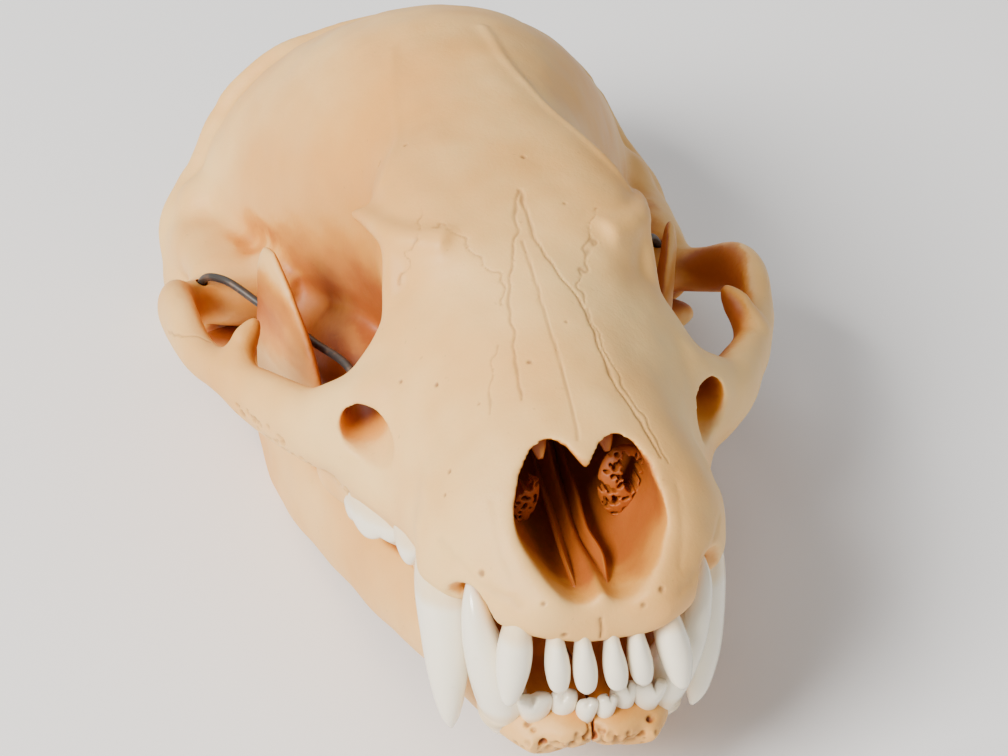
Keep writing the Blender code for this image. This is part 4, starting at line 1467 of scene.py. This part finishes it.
@dataclass
class Mandible(Bone):
    """One half of the lower jaw, one bone. Its stations are those of the part.

    The middle fields and the seam fields shape the rough face where the halves meet.
    """

    body: Rows = (
        (3.8, 4.0, -15.4, 4.2, 2.0), (5.6, 8.4, -14.4, 5.0, 3.4), (7.6, 15.0, -13.4, 5.0, 4.8),
        (10.2, 22.0, -12.8, 4.2, 5.6), (13.4, 30.0, -12.4, 3.4, 6.0), (16.8, 40.0, -12.2, 3.1, 6.2),
        (19.6, 50.0, -11.8, 3.0, 6.2), (22.2, 58.0, -11.2, 2.8, 6.2), (24.4, 66.0, -10.0, 2.4, 6.5),
        (25.6, 74.0, -8.4, 1.9, 7.2), (26.4, 82.0, -6.6, 1.5, 5.0), (26.8, 88.0, -7.2, 1.1, 2.2),
    )
    coronoid: Rows = (
        (23.6, 69.0, -10.0, 1.7, 10.0), (24.2, 69.6, -2.0, 1.6, 9.6), (25.0, 70.2, 6.0, 1.4, 8.0),
        (25.8, 71.4, 12.0, 1.2, 5.8), (26.5, 72.8, 16.2, 1.0, 3.6), (26.8, 74.0, 18.8, 0.6, 1.4),
    )
    coronoid_turn: float = math.radians(20.0)
    neck: Rows = (
        (25.6, 78.0, -6.0, 2.0, 4.6), (26.2, 84.0, -3.6, 2.2, 3.4), (27.0, 88.0, -2.0, 3.0, 2.4),
    )
    head: Ball = ((27.0, 88.4, -1.6), (8.2, 3.1, 2.9))
    chin: Ball = ((2.6, 13.6, -14.0), (6.6, 12.4, 4.0))
    middle_gap: float = 0.15
    middle_block: tuple[float, float, float] = (40.0, 60.0, 40.0)
    middle_grid: int = 60
    seam_depth: float = 0.22
    seam_wave: float = 2.2
    tooth_room: float = 0.3
    rounds: float = 4
    plate_points: int = 28

    def build(self, side: Side, teeth: Teeth, wires: JawWires) -> bpy.types.Object:
        """Builds the bone.

        Args:
            side: The half that is wanted.
            teeth: The teeth, whose upper ones it makes way for.
            wires: The wires that it is bored for.

        Returns:
            The bone, in the skull's frame.
        """
        turn = side.value
        solid = Solid(f"mandible_{side.name.lower()}_bone", bar(self.body, turn, 28))
        solid.join([self.coronoid_skin(turn), bar(self.neck, turn)])
        solid.join([ball(self.head, turn), ball(self.chin, turn)])
        solid.soften(self.rounds)
        solid.largest()
        self.carve(solid.obj)
        clear = list(teeth.upper(side, self.tooth_room).values())
        solid.cut([*clear, self.middle(turn), *wires.skins(wires.room).values()])
        solid.largest()
        return solid.obj

    def coronoid_skin(self, side: int) -> Skin:
        """The tall plate that the temple muscle pulls on."""
        angle = turns(self.plate_points)
        rings = []
        for x, y, z, thick, long in smooth_rows(self.coronoid, 1.2):
            out = thick * np.cos(angle)
            back = long * np.sin(angle)
            across = out * math.cos(self.coronoid_turn) + back * math.sin(self.coronoid_turn)
            along = back * math.cos(self.coronoid_turn) - out * math.sin(self.coronoid_turn)
            level = np.full(self.plate_points, z)
            rings.append(np.column_stack([side * (x + across), y + along, level]))
        return skin_of(rings)

    def middle(self, side: int) -> Skin:
        """A block that ends in the rough seam between the halves, just past the middle."""
        width, length, height = self.middle_block
        ys = np.linspace(-length / 4, length, self.middle_grid)
        zs = np.linspace(-height, height / 2, self.middle_grid)
        y, z = np.meshgrid(ys, zs, indexing="ij")
        flat = np.column_stack([np.zeros(y.size), y.ravel(), z.ravel()])
        seam = self.seam_depth * ripple(flat, self.seam_wave, SEED).reshape(y.shape)
        seam += side * self.middle_gap
        near = np.stack([seam, y, z], axis=2)
        far = np.stack([np.full(y.shape, -side * width), y, z], axis=2)
        return skin_of(np.concatenate([near, far[:, ::-1]], axis=1))


@dataclass
class NoseBones:
    """The thin bones that show in the nose: the plough bone, the scrolls and the ledges."""

    trough: Rows = (
        (5.0, -2.3, 4.2, -0.2, 3.2, 1.7, 4.4), (10.0, -2.4, 5.3, 0.0, 3.4, 2.2, 5.7),
        (15.0, -2.2, 5.8, 0.4, 3.8, 1.6, 6.4), (22.0, -2.0, 7.0, 0.8, 5.0, 1.9, 7.8),
        (32.0, -1.4, 9.0, 0.9, 6.4, 2.0, 9.6), (38.0, -1.2, 12.0, 0.6, 8.0, 1.8, 12.4),
    )
    thickness: float = 0.42
    lattice: Ball = ((6.6, 18.4, 10.4), (3.1, 1.7, 4.8))
    lattice_hollow: Ball = ((7.2, 18.0, 11.8), (1.0, 5.0, 2.3))
    cells: int = 90
    cell_size: tuple[float, float] = (0.18, 0.42)
    cell_length: float = 5.0
    lattice_rounds: float = 0.16
    lattice_voxel: float = 0.13
    trough_points: int = 13
    warmth: float = 0.9
    ledges: dict[Side, Rows] = field(
        default_factory=lambda: {
            Side.RIGHT: (
                (4.7, 15.6, 19.0, 1.1, 0.4),
                (4.6, 15.0, 17.7, 0.9, 0.3),
                (4.4, 14.6, 16.2, 0.35, 0.2),
            ),
            Side.LEFT: (
                (3.1, 15.8, 19.2, 1.2, 0.4),
                (3.4, 15.2, 17.8, 0.9, 0.3),
                (3.6, 14.8, 16.4, 0.35, 0.2),
            ),
        }
    )

    def make(self) -> list[bpy.types.Object]:
        """Makes the thin bones and returns them."""
        made = [mesh_object("plough_bone", sheet(self._trough(), self.thickness))]
        for side in Side:
            made.append(self._lattice(side))
            ledge = bar(self.ledges[side], side.value, 16, 0.3)
            made.append(mesh_object(f"ledge_bone_{side.name.lower()}", ledge))
        for obj in made:
            relief = Relief(obj)
            relief.write("zone", np.full(len(relief.points), self.warmth))
            relief.write("dirt", np.zeros(len(relief.points)))
        return made

    def _trough(self) -> np.ndarray:
        """The grid of the plough bone: a trough with thin edges that widens to the back."""
        table = np.array(self.trough)
        rows = np.column_stack([np.zeros((len(table), 2)), table])
        rows[:, 0] = table[:, 0]
        grid = []
        across = np.linspace(-1.0, 1.0, self.trough_points)
        for row in smooth_rows(rows, 0.8)[:, 2:]:
            y, left_x, left_z, keel_x, keel_z, right_x, right_z = row
            left = across < 0
            edge_x = np.where(left, left_x, right_x)
            edge_z = np.where(left, left_z, right_z)
            reach = np.abs(across)
            x = keel_x + (edge_x - keel_x) * reach**0.8
            z = keel_z + (edge_z - keel_z) * reach**1.8
            grid.append(np.column_stack([x, np.full(self.trough_points, y), z]))
        return np.array(grid)

    def _lattice(self, side: Side) -> bpy.types.Object:
        """A scroll bone worn to a lattice of small cells."""
        solid = Solid(f"scroll_bone_{side.name.lower()}", ball(self.lattice, side.value))
        draw = np.random.default_rng(SEED + side.value)
        centre, size = (np.array(value) for value in self.lattice)
        holes = []
        while len(holes) < self.cells:
            x, z = draw.uniform(-1, 1, 2)
            if x * x + z * z > 1:
                continue
            place = centre + size * (x, 0, z)
            wide, tall = draw.uniform(*self.cell_size, 2)
            spot = (place[0], place[1] + draw.uniform(-1, 1), place[2])
            holes.append(ball((spot, (wide, self.cell_length, tall)), side.value))
        solid.cut([ball(self.lattice_hollow, side.value)])
        for hole in holes:
            solid.cut([hole])
        solid.soften(self.lattice_rounds, self.lattice_voxel)
        solid.largest()
        return solid.obj


@dataclass
class Studio:
    """The floor, the lights and the camera.

    Args:
        azimuth: The camera's turn round the skull, in radians.
        elevation: Its height over the plane of the upper teeth, in radians.
        roll: Its roll, in radians.
        place: Where the skull's frame is as the camera sees it, in millimetres.
        focal: The focal length in pixels.
        centre: The point that the lens looks straight at, in pixels.
        size: The width and height of the picture in pixels.
    """

    azimuth: float = -0.2297
    elevation: float = 0.4473
    roll: float = 0.0266
    place: tuple[float, float, float] = (10.821, -30.0455, -387.5718)
    focal: float = 3400.0
    centre: tuple[float, float] = (507.92, 376.08)
    size: tuple[int, int] = (1008, 756)
    floor_half: float = 3.0
    room_light: float = 0.38

    def build(self, floor_finish: bpy.types.Material) -> None:
        """Sets up the floor, the lights and the camera."""
        self._floor(floor_finish)
        self._light("key", (-0.85, -0.50, 0.80), 0.5, 31.0, (1.0, 0.97, 0.93))
        self._light("fill", (0.9, -0.7, 0.55), 0.9, 1.5, (0.95, 0.97, 1.0))
        self._light("back", (-0.5, 0.9, 0.9), 0.9, 5.0, (1.0, 1.0, 1.0))
        world = bpy.data.worlds.new("soft_room")
        world.use_nodes = True
        background = world.node_tree.nodes["Background"]
        background.inputs["Color"].default_value = (1.0, 1.0, 1.0, 1.0)
        background.inputs["Strength"].default_value = self.room_light
        bpy.context.scene.world = world
        self._camera()

    def _floor(self, finish: bpy.types.Material) -> None:
        """Lays a wide flat board under the skull."""
        half = self.floor_half
        mesh = bpy.data.meshes.new("floor")
        corners = [(-half, -half, 0), (half, -half, 0), (half, half, 0), (-half, half, 0)]
        mesh.from_pydata(corners, [], [(0, 1, 2, 3)])
        mesh.materials.append(finish)
        floor = bpy.data.objects.new("floor", mesh)
        bpy.context.scene.collection.objects.link(floor)

    def _light(
        self, name: str, place: tuple[float, float, float], size: float, power: float, tint: Colour
    ) -> None:
        """Adds one soft square light that looks at the skull.

        Args:
            name: Its name.
            place: Where it stands.
            size: The length of its side.
            power: Its power in watts.
            tint: Its colour.
        """
        lamp = bpy.data.lights.new(name, "AREA")
        lamp.size = size
        lamp.energy = power
        lamp.color = tint
        light = bpy.data.objects.new(name, lamp)
        bpy.context.scene.collection.objects.link(light)
        light.location = place
        light.rotation_euler = Vector(place).to_track_quat("Z", "Y").to_euler()

    def _camera(self) -> None:
        """Puts the camera where the photograph was taken from."""
        turn, rise = self.azimuth, self.elevation
        back = Vector(
            (math.sin(turn) * math.cos(rise), -math.cos(turn) * math.cos(rise), math.sin(rise))
        )
        right = Vector((math.cos(turn), math.sin(turn), 0.0))
        over = back.cross(right)
        across = math.cos(self.roll) * right + math.sin(self.roll) * over
        up = math.cos(self.roll) * over - math.sin(self.roll) * right
        spin = Matrix((across, up, back))
        place = -(spin.transposed() @ Vector(self.place))
        in_skull = Matrix.Translation(place) @ spin.transposed().to_4x4()
        lens = bpy.data.cameras.new("camera")
        lens.sensor_width = 36.0
        lens.lens = 36.0 * self.focal / self.size[0]
        lens.shift_x = -(self.centre[0] - self.size[0] / 2) / self.size[0]
        lens.shift_y = (self.centre[1] - self.size[1] / 2) / self.size[0]
        lens.clip_start = 0.01
        camera = bpy.data.objects.new("camera", lens)
        bpy.context.scene.collection.objects.link(camera)
        spot = pose_matrix() @ in_skull
        turned = spot.to_quaternion().to_matrix().to_4x4()
        camera.matrix_world = Matrix.Translation(spot.translation) @ turned
        bpy.context.scene.camera = camera


CRANIUM_LINES = (
    Line(
        (
            (0.2, 48.7, 35.4), (-2, 41.1, 32.2), (-4.4, 32.2, 27.8), (-5.1, 26, 24.9),
            (-5.8, 19, 21.8),
        ),
        0.20, -0.16, 0.55, 0.18,
    ),
    Line(
        (
            (0.4, 48.7, 35.4), (0.4, 43, 33.2), (2, 36.2, 30.1), (4.4, 30.7, 27.1),
            (4.9, 24.9, 24.6), (6.3, 18, 21.2), (9.4, 11.9, 16.4),
        ),
        0.24, -0.20, 0.6, 0.18,
    ),
    Line(
        (
            (-1, 40.8, 32.2), (-0.8, 34.8, 29.6), (-0.6, 27, 26.4), (-0.4, 20, 23.3),
            (-0.5, 12.6, 19.3),
        ),
        0.18, -0.16, 0.5, 0.06,
    ),
    Line(
        ((-11.8, 49, 33.4), (-13.3, 44.6, 32.2), (-14.6, 44.4, 28.8), (-15.4, 43.5, 26.2)), 0.18,
        -0.12, 0.5, 0.5,
    ),
    Line(
        ((-11, 45.5, 33), (-8.1, 42, 31.6), (-5, 36.8, 29.6), (-4.5, 34.5, 28.7), (-4.5, 32.6, 28)),
        0.18, -0.12, 0.5, 0.5,
    ),
    Line(
        (
            (9.6, 46.2, 33.3), (7.8, 42.1, 31.8), (6.1, 38.3, 30), (4.9, 35.9, 29.2),
            (4.6, 31.5, 27.4),
        ),
        0.18, -0.12, 0.5, 0.5,
    ),
    Line(
        ((-7.1, 27.8, 24.8), (-8, 25.5, 23.4), (-8.7, 23, 22), (-9.1, 18.8, 20.2)), 0.16, -0.10,
        0.4, 0.3,
    ),
    Line(
        (
            (4.8, 30.8, 27.1), (5.3, 26.5, 25.1), (6.5, 21, 22.4), (7.9, 16.8, 20.1),
            (10, 11.5, 15.7),
        ),
        0.18, -0.12, 0.5, 0.2,
    ),
    Line(
        ((-9, 83.5, 41.2), (-10.5, 73.3, 37.8), (-13.4, 62.3, 35.6), (-15.1, 58.7, 33.7)), 1.3,
        0.16,
    ),
    Line(((3.4, 85.1, 43.2), (4.3, 76.4, 41.9), (8.5, 66.3, 38.7), (15.2, 54.2, 32.2)), 1.3, 0.28),
    Line(
        ((-40.1, 71.1, 9.2), (-38.7, 66.9, 10.4), (-37, 65.5, 10.8), (-35.7, 63.7, 10.8)), 0.2,
        -0.14, 0.5, 0.2,
    ),
    Line(
        ((-16.6, 12, 8.1), (-15, 8.5, 7.2), (-12.8, 5.1, 5.6), (-9.4, 1.8, 4.5)), 0.8, -0.10, 0.1,
        0.2, True,
    ),
    Line(((-10.8, 10, 13.8), (-10.8, 6.7, 10.4), (-9.7, 3.3, 6.9)), 0.8, -0.08, 0.0, 0.1, True),
    Line(((-0.3, 0.1, 2.8), (-0.2, -0.2, 0.6), (-0.1, 0.0, -0.6)), 0.22, -0.3, 0.8, 0.1),
)
CRANIUM_SPOTS = (
    Spot((2, 54.7, 37.3), 0.3, -0.2, 0.8), Spot((5.5, 46.3, 34.2), 0.25, -0.15, 0.7),
    Spot((1.6, 28.5, 26.8), 0.2, -0.12, 0.7), Spot((-4, 23.6, 24.3), 0.22, -0.15, 0.8),
    Spot((-13.9, 28.7, 19.8), 0.32, -0.22, 0.9), Spot((-10.3, 21.4, 20.3), 0.2, -0.1, 0.7),
    Spot((-17.3, 33.2, 18.3), 0.25, -0.15, 0.8), Spot((-14.6, 16.6, 14.3), 0.3, -0.18, 0.8),
    Spot((-15.5, 14.6, 12.4), 0.25, -0.15, 0.8), Spot((-13, 5.8, 6.6), 0.4, -0.25, 0.8),
    Spot((-6.8, 0.9, 4.8), 0.3, -0.2, 0.8), Spot((6.8, 1.2, 5.2), 0.35, -0.25, 0.8),
    Spot((4.6, 0.7, 3.9), 0.3, -0.2, 0.8), Spot((-4.3, 0.4, 1.0), 0.35, -0.2, 0.8),
    Spot((-11, 62.4, 36.2), 0.3, -0.2, 0.7), Spot((-13.3, 66.5, 32.4), 0.4, -0.2, 0.7),
)
CRANIUM_WARMTH = (
    (0.0, 22.0, 24.0, 16.0, -0.40), (-14.0, 22.0, 14.0, 13.0, -0.35),
    (14.0, 22.0, 14.0, 13.0, -0.25), (-20.0, 84.0, 28.0, 20.0, 0.30),
    (-6.0, 66.0, 38.0, 14.0, 0.16), (-20.0, 64.0, 18.0, 15.0, 0.55), (20.0, 64.0, 18.0, 15.0, 0.55),
    (-15.0, 92.0, 39.0, 9.0, -0.30), (-37.0, 64.0, 8.0, 9.0, 0.15),
)
CHIN_SPOTS = (
    Spot((1.0, 1.7, -13.4), 0.32, -0.26, 0.8), Spot((1.4, 2.3, -15.5), 0.5, -0.40, 0.8),
    Spot((2.5, 1.3, -14.5), 0.34, -0.27, 0.8), Spot((3.3, 2.8, -15.9), 0.42, -0.34, 0.8),
    Spot((4.3, 1.6, -14.1), 0.36, -0.29, 0.8), Spot((5.5, 3.0, -15.1), 0.4, -0.32, 0.8),
    Spot((6.8, 4.0, -13.9), 0.45, -0.36, 0.8), Spot((2.1, 4.8, -16.8), 0.4, -0.32, 0.8),
    Spot((-0.9, 1.6, -14.2), 0.42, -0.34, 0.8), Spot((-1.6, 3.0, -16.0), 0.45, -0.36, 0.8),
    Spot((-2.8, 1.6, -15.0), 0.36, -0.29, 0.8), Spot((-3.6, 4.1, -16.5), 0.4, -0.32, 0.8),
    Spot((-4.6, 1.9, -14.6), 0.4, -0.32, 0.8), Spot((-6.0, 3.3, -14.9), 0.34, -0.27, 0.8),
    Spot((-7.2, 4.8, -13.7), 0.42, -0.34, 0.8), Spot((-2.2, 1.4, -13.3), 0.3, -0.24, 0.8),
)
MUSCLE_SCAR = (
    (33.4, 53.0, 8.0), (31.2, 48.4, 7.0), (29.2, 44.8, 6.0), (26.6, 41.8, 4.2), (23.2, 37.6, 1.4),
)
CHIN_FRONT = ((1.0, 2.4, -13.6), (2.8, 1.8, -15.0), (5.0, 2.6, -15.6), (7.6, 4.4, -14.6))
CHIN_LINES = (
    Line(
        ((0.6, 2.4, -12.8), (1.0, 1.6, -14.2), (0.6, 2.9, -15.6), (1.0, 5.6, -16.9)), 0.35, -0.28,
        0.6, 0.3,
    ),
    Line(((-2.6, 2.2, -15.6), (-2.9, 3.7, -16.4), (-2.4, 5.4, -17.0)), 0.35, -0.28, 0.6, 0.3),
    Line(((3.9, 1.7, -14.8), (4.6, 2.9, -15.6), (4.4, 4.3, -16.4)), 0.35, -0.28, 0.6, 0.3),
    Line(
        ((-0.6, 2.4, -12.8), (-1.1, 1.5, -14.0), (-0.7, 2.5, -15.4), (-1.2, 5.1, -16.8)), 0.35,
        -0.28, 0.6, 0.3,
    ),
)
# Centres in the cheek pits where the painted shade is made paler.
CHEEK_PITS = ((21.6, 33.0, 11.4, 9.0, 0.72), (-21.6, 33.0, 11.4, 9.0, 0.72))


def main() -> None:
    """Builds the skull piece by piece, then the studio round it."""
    logging.basicConfig(level=logging.INFO, format="%(message)s")
    dresser = Dresser()
    teeth = Teeth()
    wires = JawWires()
    cranium = Cranium(
        lines=CRANIUM_LINES,
        spots=CRANIUM_SPOTS + porous(MUSCLE_SCAR, count=60, spread=0.7, seed=SEED),
        warmth=CRANIUM_WARMTH,
        paler_shade=CHEEK_PITS,
    )
    mandible = Mandible(
        lines=CHIN_LINES,
        spots=CHIN_SPOTS + porous(CHIN_FRONT, count=26, spread=0.8, seed=SEED),
        base_warmth=0.45,
    )
    upper = cranium.build(teeth, mandible.head, wires)
    halves = {side: mandible.build(side, teeth, wires) for side in Side}
    bones = [upper, *halves.values()]
    nose = NoseBones().make()
    # Stores the closeness that paints shade into each bone's hollows.
    for obj, kind in ((upper, cranium), *((half, mandible) for half in halves.values())):
        store_shade_mask(obj, bones, kind.paler_shade)
    for obj in nose:
        store_shade_mask(obj, [upper])
    bone = BoneFinish("bone").material()
    jaw_bone = BoneFinish("jaw_bone").material()
    enamel = EnamelFinish("enamel").material()
    wire = WireFinish("wire").material()
    dresser.dress(upper, bone, "cranium")
    for side, obj in halves.items():
        dresser.dress(obj, jaw_bone, f"mandible_{side.name.lower()}")
    for obj in nose:
        dresser.dress(obj, bone)
    for side in Side:
        teeth.make(side, dresser, enamel)
    wires.make(dresser, wire)
    Studio().build(FloorFinish("floor").material())


if __name__ == "__main__":
    main()
